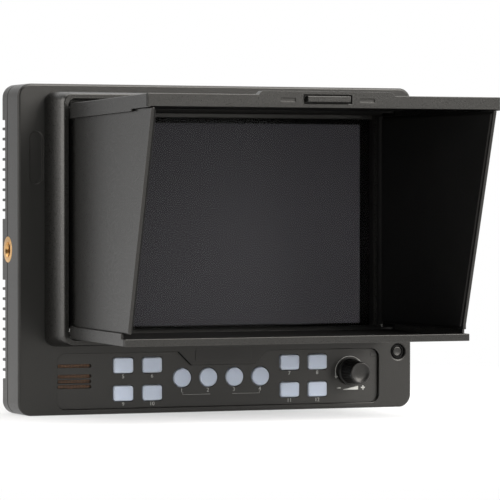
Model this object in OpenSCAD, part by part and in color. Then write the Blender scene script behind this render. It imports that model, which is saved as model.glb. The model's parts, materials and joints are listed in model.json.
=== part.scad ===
// Camera field monitor with a folding sun hood on its screen side.
// Millimetres, +Z up, the screen faces -Y. Every module is drawn with the bezel's
// front face at y = 0 and the housing's underside at z = 0, and in_frame() moves it
// so that the origin is the mouth of the tripod thread in the underside.

/* [Screen] */
// Width of the lit area
active_w = 150.7; // [140:0.1:180]
// Height of the lit area
active_h = 94.2; // [85:0.1:115]
// Black border round the lit area
border = 2.2; // [1:0.1:3]
// Thickness of the window glass
glass_t = 1.2; // [0.8:0.1:2]
// Thickness of the liquid crystal cell and its polarisers
cell_t = 2.6; // [2:0.1:3]
// Thickness of the backlight tray
tray_t = 3.4; // [3:0.1:4]

/* [Housing] */
// Housing on each side of the lit area
side_margin = 22.65; // [22:0.05:27]
// Housing above the lit area
top_margin = 17; // [16:0.5:21]
// Housing below the lit area, with the controls
low_margin = 39.8; // [39:0.1:46]
// Radius of the housing's four corners
corner_r = 6; // [4:0.5:9]
// Wall of the middle frame and the rear cover
wall = 2.2; // [1.8:0.1:3]
// Distance from the bezel's front face to the seam of the rear cover
seam_y = 16; // [15.5:0.5:20]
// Depth of the rear cover behind the seam
rear_d = 9; // [8.5:0.5:14]
// Width of the dark joint lines between the shells
joint_line = 0.6; // [0.4:0.1:1]
// Depth of the joint lines
joint_depth = 0.9; // [0.4:0.1:1.2]
// Bevel on the bezel's outer edge
bezel_bevel = 0.7; // [0.3:0.1:0.9]
// Bevel on the rear cover's outer edge
rear_bevel = 1.6; // [0.5:0.1:2]
// Thickness of the front bezel
bezel_t = 3; // [2.6:0.1:4]
// Visible rim of the bezel in front of the first joint line
bezel_rim = 1; // [0.8:0.1:1.4]

/* [Controls] */
// Sideways place of the middle of the controls
controls_x = 1.6; // [0:0.1:3]
// Distance from the housing's sides to the control recess
recess_side = 17.5; // [15:0.5:19]
// Sideways place of the middle of the recess
recess_x = 0.8; // [0:0.1:1.2]
// Depth of the control recess
recess_d = 1.8; // [1.2:0.1:2]
// Lower edge of the control recess above the underside
recess_z0 = 2.5; // [2:0.1:4]
// Distance from the control recess up to the lit area
recess_top = 11.8; // [11:0.1:13]
// Width of the rectangular keys
key_w = 9.4; // [8:0.1:10]
// Height of the rectangular keys
key_h = 6.85; // [6:0.05:7.4]
// Corner radius of the rectangular keys
key_r = 1.2; // [0.5:0.1:2]
// Diameter of the round keys
round_key_d = 8.6; // [7:0.1:9]
// How far the keys stand out of the panel
key_stand = 0.9; // [0.5:0.1:1.2]
// Travel of the keys
key_travel = 0.7; // [0.4:0.1:0.8]
// Gap round each key in its hole
key_gap = 0.35; // [0.3:0.05:0.5]
// Place of the outer columns of rectangular keys, as a share of the recess's width
outer_share = 0.302; // [0.29:0.002:0.31]
// Place of the inner columns of rectangular keys, as a share of the recess's width
inner_share = 0.2136; // [0.2:0.0002:0.22]
// Spacing of the round keys, as a share of the recess's width
round_share = 0.081; // [0.07:0.001:0.084]
// Distance of the upper row of rectangular keys below the recess's upper edge
key_drop = 5.9; // [5:0.1:7]
// Height of the lower row of rectangular keys above the recess's lower edge
key_rise = 6.8; // [6:0.1:8]
// Distance of the turning knob from the recess's right edge
knob_side = 14.4; // [13:0.1:15]
// Distance of the turning knob below the recess's upper edge
knob_drop = 10.9; // [10:0.1:12]
// Diameter of the knob at its base
knob_d = 12.5; // [11:0.1:13]
// Diameter of the knob at its cap
knob_cap_d = 10.6; // [9:0.1:11]
// Length of the knob
knob_l = 11.8; // [10:0.1:14]
// Travel of the knob when it is pushed
knob_travel = 0.6; // [0.3:0.1:0.8]
// Gap between the knob and the panel
knob_gap = 1.1; // [0.9:0.1:1.5]
// Distance of the flip key from the housing's right side
flip_side = 6.7; // [6:0.1:7]
// Diameter of the flip key's well
flip_well_d = 7.3; // [7:0.1:7.6]
// Diameter of the flip key's cap
flip_d = 4.4; // [4:0.1:4.6]

/* [Hood] */
// Distance from the housing's sides to the hood frame
hood_side = 12.2; // [11:0.1:13]
// Distance from the top of the housing to the hood frame
hood_top = 3.7; // [3:0.1:5]
// Distance from the hood frame's lower edge up to the lit area
hood_low = 8.3; // [7.8:0.1:8.8]
// Depth of the hood frame
hood_d = 20; // [18:0.5:24]
// How far the frame's sides draw in towards its rim
hood_in_x = 2.7; // [2:0.1:3]
// How far the frame's top and bottom draw in towards its rim
hood_in_z = 1.4; // [1:0.1:1.6]
// Wall of the hood frame at its rim
hood_wall = 2.2; // [1.8:0.1:2.4]
// Corner radius of the hood frame
hood_r = 5; // [4:0.5:8]
// Thickness of the hood frame's back flange
flange_t = 2; // [1.5:0.1:2.5]
// Width of the back flange inside the frame's walls
flange_w = 3.6; // [3:0.1:4]
// Gap between the hood frame and the bezel
hood_gap = 0.3; // [0.3:0.05:0.5]
// Upward travel of the hood frame when it is released
hood_travel = 5; // [4:0.5:5.5]

/* [Flaps] */
// Reach of the top and side flaps in front of the bezel
top_reach = 125; // [110:1:135]
// Reach of the bottom flap in front of the bezel
bottom_reach = 95.5; // [85:0.5:100]
// Thickness of the flaps' plastic
flap_t = 1.5; // [1.2:0.1:1.8]
// Thickness of the flaps' felt lining
felt_t = 1; // [0.6:0.1:1.2]
// Outward lean of the side flaps
side_lean = 1; // [0.5:0.1:1.2]
// Outward lean of the top flap
top_lean = 1; // [0.5:0.1:1.2]
// Outward lean of the bottom flap
bottom_lean = 0.5; // [0.3:0.1:0.7]
// Radius of the hinge barrels
barrel_r = 1.9; // [1.8:0.1:2]
// Radius of the hinge pins
pin_r = 1; // [0.8:0.05:1.1]
// Running clearance of the barrels on their pins
pin_fit = 0.05; // [0.03:0.01:0.1]
// Side gap between a side flap and the lips of the other flaps
lip_gap = 0.35; // [0.3:0.05:0.5]
// Thickness of the lips of the top and bottom flaps
lip_t = 1.1; // [0.9:0.1:1.3]
// Depth of the top flap's side lips near the hinge
lip_deep = 6.8; // [6:0.1:7.2]
// Depth of the top flap's side lips near the front
lip_shallow = 4.6; // [4:0.1:5]
// Distance of the step in the side lips from the front edge
lip_step = 21.5; // [18:0.5:25]
// Depth of the front lips
front_lip = 4.2; // [3.6:0.1:4.6]
// Depth of the bottom flap's side lips
low_lip = 5.6; // [5:0.1:6]
// Width of the raised middle of the top flap's front edge
boss_w = 61; // [50:1:70]
// Rise of the raised middle of the top flap's front edge
boss_h = 1.6; // [1:0.1:2]
// Width of the latch window
latch_w = 22.6; // [18:0.1:26]
// Travel of the latch
latch_travel = 1; // [0.6:0.1:1.4]

/* [Threads] */
// Diameter of the brass bushes' flanges
bush_d = 12; // [11:0.1:12.4]
// Outside diameter of the brass bushes' shanks
bush_shank_d = 9; // [8.5:0.1:9.5]
// Length of the brass bushes
bush_l = 8; // [7:0.5:9]
// Thickness of the brass bushes' flanges
bush_flange = 1.2; // [0.8:0.1:1.6]
// Diameter of the bushes' threads (quarter inch)
thread_d = 6.35; // [6:0.05:6.4]

/* [Side vents] */
// Spacing of the side vents
vent_pitch = 4.65; // [4.4:0.05:4.9]
// Width of each side vent
vent_w = 3.4; // [3:0.1:3.6]
// Number of vents in each row
vent_count = 10; // [6:1:10]
// Distance of the vents behind the seam
vent_back = 3.8; // [3.5:0.1:4.5]

/* [Rear] */
// Width of the battery plate
plate_w = 58; // [52:1:64]
// Height of the battery plate
plate_h = 76; // [70:1:80]
// Height of the battery plate's middle above the housing's middle
plate_up = 16.5; // [12:0.5:20]
// Thickness of the battery plate
plate_t = 3; // [2.5:0.1:4]
// Height of the battery plate's rails
rail_h = 4; // [3:0.1:5]
// Height of the row of sockets above the underside
socket_z = 16; // [15:0.5:18]

/* [Hidden] */
$fn = 48;
eps = 0.01;
body_w = active_w + 2 * side_margin;
body_h = low_margin + active_h + top_margin;
body_d = seam_y + rear_d;
fit = 0.3;

// Middle of the lit area
active_z = low_margin + active_h / 2;

// Edges of the control recess and of the tab under the screen
recess_w = body_w - 2 * recess_side;
recess_x0 = recess_x - recess_w / 2;
recess_x1 = recess_x + recess_w / 2;
recess_z1 = low_margin - recess_top;
recess_r = 4;
tab_top_w = 44.6;
tab_low_w = 31.8;
tab_z = recess_z1 - 6.3;
tab_x = controls_x + 0.5;
plaque_w = 28;
plaque_h = 5.5;
plaque_t = 0.3;

// Places of the knob, the flip key and the lens
knob_x = recess_x1 - knob_side;
knob_z = recess_z1 - knob_drop;
flip_x = body_w / 2 - flip_side;
flip_z = recess_z1 - 1.7;
lens_w = 3;
lens_h = 2;
lens_x = recess_x1 - 2.2;
lens_z = recess_z1 - 2.9;

// Speaker slots at the recess's left end
slot_count = 5;
slot_h = 1.5;
slot_pitch = 2.38;
slot_z0 = recess_z0 + 10.3;
slot_x1 = recess_x0 + 17.1;

// Pocket in the bezel beside the hood frame
pocket_x = -body_w / 2 + 8.4;
pocket_z = body_h - 33.6;
pocket_w = 6.2;
pocket_h = 24;
pocket_d = 1.1;

// Places that follow from the stack behind the bezel
cell_y = bezel_t + glass_t;
tray_y = cell_y + cell_t;
tray_back = tray_y + tray_t;
board_t = 1.6;
panel_t = 1.2;
panel_back = recess_d + panel_t + 0.8;
key_board_y = 8.2;
main_board_y = tray_back + 3;
window_w = active_w + 2 * border;
window_h = active_h + 2 * border;

// Places of the keys: x, z
key_outer = outer_share * recess_w;
key_inner = inner_share * recess_w;
key_top_z = recess_z1 - key_drop;
key_low_z = recess_z0 + key_rise;
round_pitch = round_share * recess_w;
round_z = tab_z - 5.8;
key_places = [for (z = [key_top_z, key_low_z]) for (x = [-key_outer, -key_inner, key_inner, key_outer])
    [controls_x + x, z]];
round_places = [for (i = [0:3]) [controls_x + (i - 1.5) * round_pitch, round_z]];
key_flange = 1;
round_flange = 0.9;
flange_back = panel_back + 1.1;
stem_back = panel_back + 1.6;
stem_r = 1.6;
switch_front = stem_back + key_travel + fit;

// Encoder behind the knob
knob_back = recess_d - knob_gap;
shaft_r = 2;
shaft_in = 7;
neck_r = 1.1;
sleeve_r = 2.4;
encoder_w = 11.6;

// Hood frame's edges at its base, and the inner faces of its walls at the rim
hood_x = body_w / 2 - hood_side;
hood_z0 = low_margin - hood_low;
hood_z1 = body_h - hood_top;
hood_in_w = hood_x - hood_in_x - hood_wall;
hood_floor = hood_z0 + hood_in_z + hood_wall;
hood_roof = hood_z1 - hood_in_z - hood_wall;

// Hinge axes: the left flap folds in first, then the right, the bottom and the top
side_hinge_x = hood_in_w - barrel_r - 1.8;
flap_all_t = flap_t + felt_t;
left_hinge_y = -8;
right_hinge_y = left_hinge_y - flap_all_t - 0.6;
top_hinge_y = -(hood_d - 3.4);
bottom_hinge_y = -(hood_d - 4.4);
top_hinge_z = hood_roof - barrel_r - 2.3;
bottom_hinge_z = hood_floor + barrel_r + 0.7;
side_top = top_hinge_z - barrel_r - fit;
side_bottom = bottom_hinge_z + barrel_r + 0.7;
pin_in = 1.4;
side_stop = side_hinge_x - barrel_r - 0.5;

// Side lips of the top and bottom flaps stand outside the side flaps
side_out = side_hinge_x + barrel_r;
function side_out_at(y) = side_out + (-y) * tan(side_lean);
function lip_in_at(y) = side_out_at(y) + lip_gap;
lip_back = -(hood_d + 0.8);
lip_r = 3;
front_lip_t = 1.4;
low_front = 3.2;
low_step = 5;

// Latch in the front lip, with room to move behind it
latch_out = 1.8;
latch_in = 1.7;
latch_stop = 0.6;
finger_w = 6.8;
finger_x = 18.6;

// Posts behind the bezel for the backlight tray and the key board
tray_post_x = hood_x - 1;
tray_post_z = [low_margin + 2.2, low_margin + active_h];
tray_post_r = 2.6;
ear_step = 0.6;
ear_t = 1.2;
round_reach = 1.5 * round_pitch + round_key_d / 2 + round_flange;
board_post_x = [controls_x - key_outer - key_w / 2 - key_flange - 3.3,
    controls_x + (round_reach + key_inner - key_w / 2 - key_flange) / 2, recess_x1 + 3.7];
board_post_z = 4.9;
board_post_r = 1.6;

// Corner screws of the rear cover
screw_inset = 6.5;
screw_r = 1.3;
screw_boss_r = 4.6;
screw_end_y = seam_y - 6;

hook_w = 1.8;
hook_l = 3;
hook_drop = 4;
hook_t = 1.6;
hook_x = hood_x - 1.6;
hook_z = [active_z - 34.9, active_z + 35.1];

// Sockets and switch along the lower back
hdmi_x = [-40, -19];
hdmi_w = 15.6;
hdmi_h = 6.2;
hdmi_y = main_board_y + board_t;
dc_x = 26;
dc_d = 10;
dc_bore_r = 3.1;
audio_x = 4;
audio_d = 7;
jack_r = 1.8;
slider_x = 50;
slider_w = 5;
slider_h = 3;
slider_travel = 2;
slider_slot = slider_w / 2 + slider_travel / 2 + 1.4;

// Long vent slots on both sides of the battery plate
back_slots = 9;
back_slot_pitch = 4.25;
back_slot_w = 2.2;
back_slot_side = 21;
back_slot_low = 46;
back_slot_up = 34;

// Battery plate's middle, and its release button
plate_z = body_h / 2 + plate_up;
release_z = plate_z + 30;
release_w = 13;
release_h = 5.4;
contact_x = [-8, 0, 8];

// Heads of the rear screws
screw_head_r = 2.6;
screw_head_d = 1.4;

module in_frame() {
    translate([0, -seam_y, 0]) children();
}

// Rectangle with round corners, its lower left corner at the origin
module rounded(w, h, r) {
    translate([r, 0]) square([w - 2 * r, h]);
    translate([0, r]) square([w, h - 2 * r]);
    for (x = [r, w - r])
        for (z = [r, h - r])
            translate([x, z]) circle(r = r);
}

// Extrudes a drawing of the x-z plane from depth y0 back to depth y1
module deep(y0, y1) {
    translate([0, y1, 0]) rotate([90, 0, 0]) linear_extrude(y1 - y0) children();
}

// Rounded plate between two corners and two depths
module plate(x0, x1, z0, z1, r, y0, y1) {
    deep(y0, y1) translate([x0, z0]) rounded(x1 - x0, z1 - z0, r);
}

module block(x0, x1, y0, y1, z0, z1) {
    translate([x0, y0, z0]) cube([x1 - x0, y1 - y0, z1 - z0]);
}

// Rod along y between two depths
module rod_y(x, z, r, y0, y1) {
    translate([x, y1, z]) rotate([90, 0, 0]) cylinder(r = r, h = y1 - y0);
}

// Cone along y between two depths
module cone_y(x, z, r0, r1, y0, y1) {
    translate([x, y1, z]) rotate([90, 0, 0]) cylinder(r1 = r1, r2 = r0, h = y1 - y0);
}

module rod_x(y, z, r, x0, x1) {
    translate([x0, y, z]) rotate([0, 90, 0]) cylinder(r = r, h = x1 - x0);
}

module rod_z(x, y, r, z0, z1) {
    translate([x, y, z0]) cylinder(r = r, h = z1 - z0);
}

// Solid slab of the housing's outline with a bevel on its front and back edges
module slab(w, h, r, y0, y1, bevel_front, bevel_back) {
    a = w / 2;
    translate([0, 0, r]) linear_extrude(h - 2 * r)
        polygon([[-a + bevel_front, y0], [a - bevel_front, y0], [a, y0 + bevel_front], [a, y1 - bevel_back],
            [a - bevel_back, y1], [-a + bevel_back, y1], [-a, y1 - bevel_back], [-a, y0 + bevel_front]]);
    translate([-a + r, 0, 0]) rotate([90, 0, 90]) linear_extrude(w - 2 * r)
        polygon([[y0, bevel_front], [y0 + bevel_front, 0], [y1 - bevel_back, 0], [y1, bevel_back],
            [y1, h - bevel_back], [y1 - bevel_back, h], [y0 + bevel_front, h], [y0, h - bevel_front]]);
    for (x = [-a + r, a - r])
        for (z = [r, h - r]) {
            rod_y(x, z, r, y0 + bevel_front, y1 - bevel_back);
            if (bevel_front > 0) cone_y(x, z, r - bevel_front, r, y0, y0 + bevel_front);
            if (bevel_back > 0) cone_y(x, z, r, r - bevel_back, y1 - bevel_back, y1);
        }
}

// Outline of the control recess: a rounded rectangle less the tab under the screen
module recess_outline() {
    difference() {
        translate([recess_x0, recess_z0]) rounded(recess_w, recess_z1 - recess_z0, recess_r);
        translate([tab_x, 0]) polygon([[-tab_top_w / 2, recess_z1 + 1], [-tab_top_w / 2, recess_z1],
            [-tab_low_w / 2, tab_z], [tab_low_w / 2, tab_z], [tab_top_w / 2, recess_z1],
            [tab_top_w / 2, recess_z1 + 1]]);
    }
}

// Front bezel with the screen window, the control recess and the hood's hook slots
module front_bezel() {
    a = body_w / 2;
    in_frame() color([0.22, 0.22, 0.21]) difference() {
        union() {
            slab(body_w, body_h, corner_r, 0, bezel_rim, bezel_bevel, 0);
            plate(-a + joint_depth, a - joint_depth, joint_depth, body_h - joint_depth,
                corner_r - joint_depth, bezel_rim, bezel_rim + joint_line);
            plate(-a + wall, a - wall, wall, body_h - wall, corner_r - wall, bezel_rim + joint_line, bezel_t);
            for (x = [-tray_post_x, tray_post_x])
                for (z = tray_post_z)
                    rod_y(x, z, tray_post_r, bezel_t - 0.2, tray_y + ear_step);
            for (x = board_post_x)
                rod_y(x, board_post_z, board_post_r, bezel_t - 0.2, key_board_y);
        }
        plate(-window_w / 2, window_w / 2, active_z - window_h / 2, active_z + window_h / 2, 1.5,
            -1, bezel_t + 1);
        deep(-1, bezel_t + 1) recess_outline();
        rod_y(flip_x, flip_z, flip_well_d / 2, -1, bezel_t + 1);
        cone_y(flip_x, flip_z, flip_well_d / 2 + 0.5, flip_well_d / 2, -eps, 0.5);
        plate(pocket_x - pocket_w / 2, pocket_x + pocket_w / 2, pocket_z - pocket_h / 2,
            pocket_z + pocket_h / 2, pocket_w / 2 - eps, -1, pocket_d);
        for (x = [-hook_x, hook_x])
            for (z = hook_z)
                block(x - hook_w / 2 - fit, x + hook_w / 2 + fit, -1, bezel_t + 1,
                    z - fit, z + hook_l + hood_travel + fit);
    }
}

// Repeats its children at the four corner screws
module at_screws() {
    for (x = [-body_w / 2 + screw_inset, body_w / 2 - screw_inset])
        for (z = [screw_inset, body_h - screw_inset])
            translate([x, 0, z]) children();
}

// Half of a round boss for a side bush, clipped to one shell
module bush_boss(y0, y1) {
    a = body_w / 2;
    boss_r = bush_d / 2 + 2;
    boss_l = bush_l + 2.5;
    for (s = [-1, 1])
        intersection() {
            rod_x(seam_y, body_h / 2, boss_r, s < 0 ? -a + 0.5 : a - boss_l, s < 0 ? -a + boss_l : a - 0.5);
            block(-a, a, y0, y1, 0, body_h);
        }
    intersection() {
        rod_z(0, seam_y, boss_r, 0.5, boss_l);
        block(-a, a, y0, y1, 0, body_h);
    }
}

// Seats of the three brass bushes
module bush_seats() {
    a = body_w / 2;
    for (s = [-1, 1]) {
        rod_x(seam_y, body_h / 2, bush_d / 2, s < 0 ? -a - 1 : a - bush_flange,
            s < 0 ? -a + bush_flange : a + 1);
        rod_x(seam_y, body_h / 2, bush_shank_d / 2, s < 0 ? -a - 1 : a - bush_l, s < 0 ? -a + bush_l : a + 1);
    }
    rod_z(0, seam_y, bush_d / 2, -1, bush_flange);
    rod_z(0, seam_y, bush_shank_d / 2, -1, bush_l);
}

// Middle frame: the four side walls between the bezel and the seam
module mid_frame() {
    a = body_w / 2;
    in_frame() color([0.3, 0.3, 0.29]) difference() {
        union() {
            difference() {
                slab(body_w, body_h, corner_r, bezel_rim + joint_line, seam_y, 0, 0);
                plate(-a + wall, a - wall, wall, body_h - wall, corner_r - wall, 0, seam_y + 1);
            }
            bush_boss(key_board_y + board_t + fit, seam_y);
            at_screws() rod_y(0, 0, screw_boss_r, screw_end_y - 1.5, seam_y);
        }
        bush_seats();
        at_screws() rod_y(0, 0, screw_r, screw_end_y, seam_y + 1);
    }
}

// Rear cover: vented back with its corner vents, sockets row and battery seat
module rear_cover() {
    a = body_w / 2;
    vent_y = seam_y + vent_back;
    row_h = (vent_count - 1) * vent_pitch + vent_w;
    in_frame() color([0.26, 0.26, 0.25]) difference() {
        union() {
            difference() {
                slab(body_w, body_h, corner_r, seam_y + joint_line, body_d, 0, rear_bevel);
                plate(-a + wall, a - wall, wall, body_h - wall, corner_r - wall, seam_y - 1, body_d - wall);
            }
            difference() {
                plate(-a + joint_depth, a - joint_depth, joint_depth, body_h - joint_depth,
                    corner_r - joint_depth, seam_y, seam_y + joint_line);
                plate(-a + wall, a - wall, wall, body_h - wall, corner_r - wall, seam_y - 1, seam_y + 1);
            }
            bush_boss(seam_y, seam_y + bush_d / 2 + 2);
            at_screws() rod_y(0, 0, screw_boss_r, seam_y, body_d - 1);
        }
        bush_seats();
        for (s = [-1, 1])
            for (z0 = [body_h / 2 + 14, body_h / 2 - 14 - row_h])
                for (i = [0:vent_count - 1])
                    block(s < 0 ? -a - 1 : a - 7, s < 0 ? -a + 7 : a + 1, vent_y, body_d + 1,
                        z0 + i * vent_pitch, z0 + i * vent_pitch + vent_w);
        for (s = [-1, 1])
            for (i = [0:back_slots - 1])
                plate(s * (a - back_slot_side - i * back_slot_pitch) - back_slot_w / 2,
                    s * (a - back_slot_side - i * back_slot_pitch) + back_slot_w / 2, plate_z - back_slot_low,
                    plate_z + back_slot_up, back_slot_w / 2 - eps, body_d - wall - 1, body_d + 1);
        for (x = hdmi_x)
            block(x - hdmi_w / 2, x + hdmi_w / 2, body_d - wall - 1, body_d + 1,
                socket_z - hdmi_h / 2, socket_z + hdmi_h / 2);
        rod_y(audio_x, socket_z, audio_d / 2, body_d - wall - 1, body_d + 1);
        rod_y(dc_x, socket_z, dc_d / 2, body_d - wall - 1, body_d + 1);
        block(slider_x - slider_slot, slider_x + slider_slot, body_d - wall - 1, body_d + 1,
            socket_z - slider_h / 2 - fit, socket_z + slider_h / 2 + fit);
        at_screws() {
            rod_y(0, 0, screw_r, seam_y - 1, body_d + 1);
            rod_y(0, 0, screw_head_r + 0.2, body_d - screw_head_d, body_d + 1);
        }
    }
}

// Window glass over the screen
module window_glass() {
    in_frame() color([0.1, 0.1, 0.11]) plate(-window_w / 2 - 2, window_w / 2 + 2,
        active_z - window_h / 2 - 1.4, active_z + window_h / 2 + 1.4, 1, bezel_t, cell_y);
}

module lcd_cell() {
    in_frame() color([0.16, 0.16, 0.17]) plate(-active_w / 2 - 3, active_w / 2 + 3,
        active_z - active_h / 2 - 3, active_z + active_h / 2 + 3, 0.5, cell_y, tray_y);
}

// Backlight tray: a pressed pan with four ears on the bezel's posts
module backlight_tray() {
    a = active_w / 2 + 4;
    b = active_h / 2 + 3.4;
    in_frame() color([0.72, 0.72, 0.7]) difference() {
        union() {
            plate(-a, a, active_z - b, active_z + b, 1.5, tray_y, tray_back);
            for (s = [-1, 1])
                for (z = tray_post_z)
                    plate(s < 0 ? -tray_post_x - 3 : a - 2, s < 0 ? -a + 2 : tray_post_x + 3,
                        z - 3, z + 3, 1, tray_y + ear_step, tray_y + ear_step + ear_t);
        }
        plate(-a + 8, a - 8, active_z - b + 8, active_z + b - 8, 3, tray_back - 0.8, tray_back + 1);
    }
}

// Main board with its larger chips: places, sizes and heights
chips = [[0, -3, 28, 28, 2], [-39, 5, 18, 16, 1.4], [37, -20, 14, 14, 1.4], [45, 19, 22, 12, 1.4]];
module main_board() {
    y0 = main_board_y;
    half = active_w / 2 - 3.35;
    low = low_margin - 9.8;
    in_frame() color([0.1, 0.3, 0.17]) {
        block(-half, half, y0, y0 + board_t, low, low_margin + active_h);
        block(hdmi_x[0] - 10, slider_x + 14, y0, y0 + board_t, socket_z - 5, low + eps);
        for (c = chips)
            block(c[0] - c[2] / 2, c[0] + c[2] / 2, y0 + board_t - eps, y0 + board_t + c[4],
                active_z + c[1] - c[3] / 2, active_z + c[1] + c[3] / 2);
    }
}

// Posts that carry the main board on the backlight tray
module board_posts() {
    x = active_w / 2 - 9.35;
    in_frame() color([0.75, 0.62, 0.3])
        for (s = [-x, x])
            for (z = [active_z - 39, active_z + 39])
                rod_y(s, z, 2.5, tray_back, main_board_y);
}

// Key board behind the control panel, narrower where it passes the corner screw
module key_board() {
    y0 = key_board_y;
    step_x = board_post_x[2] + 1;
    top = recess_z1 + 2.6;
    in_frame() color([0.1, 0.3, 0.17]) difference() {
        union() {
            block(board_post_x[0] - 2, step_x, y0, y0 + board_t, recess_z0 + fit, top);
            block(step_x - eps, body_w / 2 - 3, y0, y0 + board_t, screw_inset + screw_boss_r + 0.9, top);
        }
        rod_y(knob_x, knob_z, 1.6, y0 - 1, y0 + board_t + 1);
    }
}

// Switches on the key board, one behind each key
module tact_switches() {
    in_frame() color([0.15, 0.15, 0.15])
        for (p = concat(key_places, round_places, [[flip_x, flip_z]])) {
            block(p[0] - 2.2, p[0] + 2.2, switch_front + 0.6, key_board_y, p[1] - 2.2, p[1] + 2.2);
            rod_y(p[0], p[1], 1.2, switch_front, switch_front + 0.6 + eps);
        }
}

// Control panel in the recess: key holes, knob hole, speaker slots and lens hole
module key_panel() {
    flange = 1.6;
    in_frame() color([0.2, 0.2, 0.19]) difference() {
        union() {
            deep(recess_d, bezel_t) recess_outline();
            plate(recess_x0 - flange, recess_x1 + flange, recess_z0 + 0.1,
                recess_z1 + flange, recess_r, bezel_t, panel_back);
        }
        for (p = key_places)
            plate(p[0] - key_w / 2 - key_gap, p[0] + key_w / 2 + key_gap, p[1] - key_h / 2 - key_gap,
                p[1] + key_h / 2 + key_gap, key_r + key_gap, recess_d - 1, panel_back + 1);
        for (p = round_places)
            rod_y(p[0], p[1], round_key_d / 2 + key_gap, recess_d - 1, panel_back + 1);
        rod_y(knob_x, knob_z, 3.6, recess_d - 1, panel_back + 1);
        for (i = [0:slot_count - 1])
            plate(recess_x0 + 0.8, slot_x1, slot_z0 + i * slot_pitch - slot_h / 2,
                slot_z0 + i * slot_pitch + slot_h / 2, slot_h / 2 - eps, recess_d - 1, panel_back + 1);
        lens_window(recess_d - 1, panel_back + 1);
        for (x = board_post_x)
            rod_y(x, board_post_z, board_post_r, bezel_t - eps, panel_back + 1);
    }
}

// Outline of the status lens between two depths
module lens_window(y0, y1) {
    plate(lens_x - lens_w / 2, lens_x + lens_w / 2, lens_z - lens_h / 2, lens_z + lens_h / 2, 0.6, y0, y1);
}

// Blank plaque on the tab under the screen
module blank_plaque() {
    z0 = recess_z1 - 4.3;
    in_frame() color([0.3, 0.3, 0.3]) plate(tab_x - plaque_w / 2, tab_x + plaque_w / 2,
        z0, z0 + plaque_h, 0.8, -plaque_t, 0);
}

module speaker() {
    z = slot_z0 + (slot_count - 1) / 2 * slot_pitch;
    x0 = recess_x0 - 0.1;
    x1 = slot_x1 + 0.6;
    back = panel_back + 4.2;
    in_frame() color([0.12, 0.12, 0.12]) {
        plate(x0, x1, z - 9, z + 9, 2, panel_back + 0.5, back);
        rod_y((x0 + x1) / 2, z, 7, back - eps, back + 2.2);
    }
}

module speaker_mesh() {
    z = slot_z0 + (slot_count - 1) / 2 * slot_pitch;
    in_frame() color([0.72, 0.5, 0.38]) plate(recess_x0 - 0.1, slot_x1 + 1, z - 6.9, z + 6.9, 0.8,
        panel_back, panel_back + 0.5);
}

module status_lens() {
    in_frame() color([0.5, 0.5, 0.5]) lens_window(recess_d - 0.1, panel_back + 0.4);
}

// Brass bush along +z with its mouth at the origin and an optional lead-in
module bush(lead) {
    difference() {
        union() {
            cylinder(d = bush_d, h = bush_flange);
            cylinder(d = bush_shank_d, h = bush_l);
        }
        translate([0, 0, -1]) cylinder(d = thread_d, h = bush_l + 2);
        if (lead > 0) translate([0, 0, -eps]) cylinder(d1 = thread_d + 2 * lead, d2 = thread_d, h = lead);
    }
}

module left_bush() {
    in_frame() color([0.72, 0.52, 0.28]) translate([-body_w / 2, seam_y, body_h / 2])
        rotate([0, 90, 0]) bush(0.5);
}

module right_bush() {
    in_frame() color([0.72, 0.52, 0.28]) translate([body_w / 2, seam_y, body_h / 2])
        rotate([0, -90, 0]) bush(0.5);
}

module bottom_bush() {
    in_frame() color([0.72, 0.52, 0.28]) translate([0, seam_y, 0]) bush(0);
}

// Rectangular key with its guide flange behind the panel
module rect_key(i) {
    p = key_places[i];
    in_frame() color([0.7, 0.74, 0.8]) {
        plate(p[0] - key_w / 2 + 0.2, p[0] + key_w / 2 - 0.2, p[1] - key_h / 2 + 0.2, p[1] + key_h / 2 - 0.2,
            key_r - 0.2, recess_d - key_stand, recess_d - key_stand + 0.2);
        plate(p[0] - key_w / 2, p[0] + key_w / 2, p[1] - key_h / 2, p[1] + key_h / 2, key_r,
            recess_d - key_stand + 0.2, panel_back + fit);
        plate(p[0] - key_w / 2 - key_flange, p[0] + key_w / 2 + key_flange, p[1] - key_h / 2 - 0.9,
            p[1] + key_h / 2 + 0.9, key_r, panel_back + fit, flange_back);
        rod_y(p[0], p[1], stem_r, flange_back - eps, stem_back);
    }
}

// Round key with its guide flange behind the panel
module round_key(i) {
    p = round_places[i];
    r = round_key_d / 2;
    in_frame() color([0.7, 0.74, 0.8]) {
        cone_y(p[0], p[1], r - 0.4, r, recess_d - key_stand, recess_d - key_stand + 0.4);
        rod_y(p[0], p[1], r, recess_d - key_stand + 0.4, panel_back + fit);
        rod_y(p[0], p[1], r + round_flange, panel_back + fit, flange_back);
        rod_y(p[0], p[1], stem_r, flange_back - eps, stem_back);
    }
}

module key_1() { rect_key(0); }
module key_2() { rect_key(1); }
module key_3() { rect_key(2); }
module key_4() { rect_key(3); }
module key_5() { rect_key(4); }
module key_6() { rect_key(5); }
module key_7() { rect_key(6); }
module key_8() { rect_key(7); }
module round_key_1() { round_key(0); }
module round_key_2() { round_key(1); }
module round_key_3() { round_key(2); }
module round_key_4() { round_key(3); }

// Metal ring in the well of the flip key
module flip_ring() {
    in_frame() color([0.62, 0.62, 0.62]) difference() {
        union() {
            rod_y(flip_x, flip_z, 2.95, 1, bezel_t);
            rod_y(flip_x, flip_z, flip_well_d / 2, 1.9, bezel_t + 0.8);
        }
        rod_y(flip_x, flip_z, flip_d / 2 + fit, 0, bezel_t + 2);
    }
}

module flip_key() {
    r = flip_d / 2;
    in_frame() color([0.06, 0.06, 0.06]) {
        cone_y(flip_x, flip_z, r - 0.4, r, 0.9, 1.3);
        rod_y(flip_x, flip_z, r, 1.3, panel_back + 0.4);
        rod_y(flip_x, flip_z, r + 1, panel_back + 0.4, flange_back);
        rod_y(flip_x, flip_z, 1.2, flange_back - eps, stem_back);
    }
}

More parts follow.
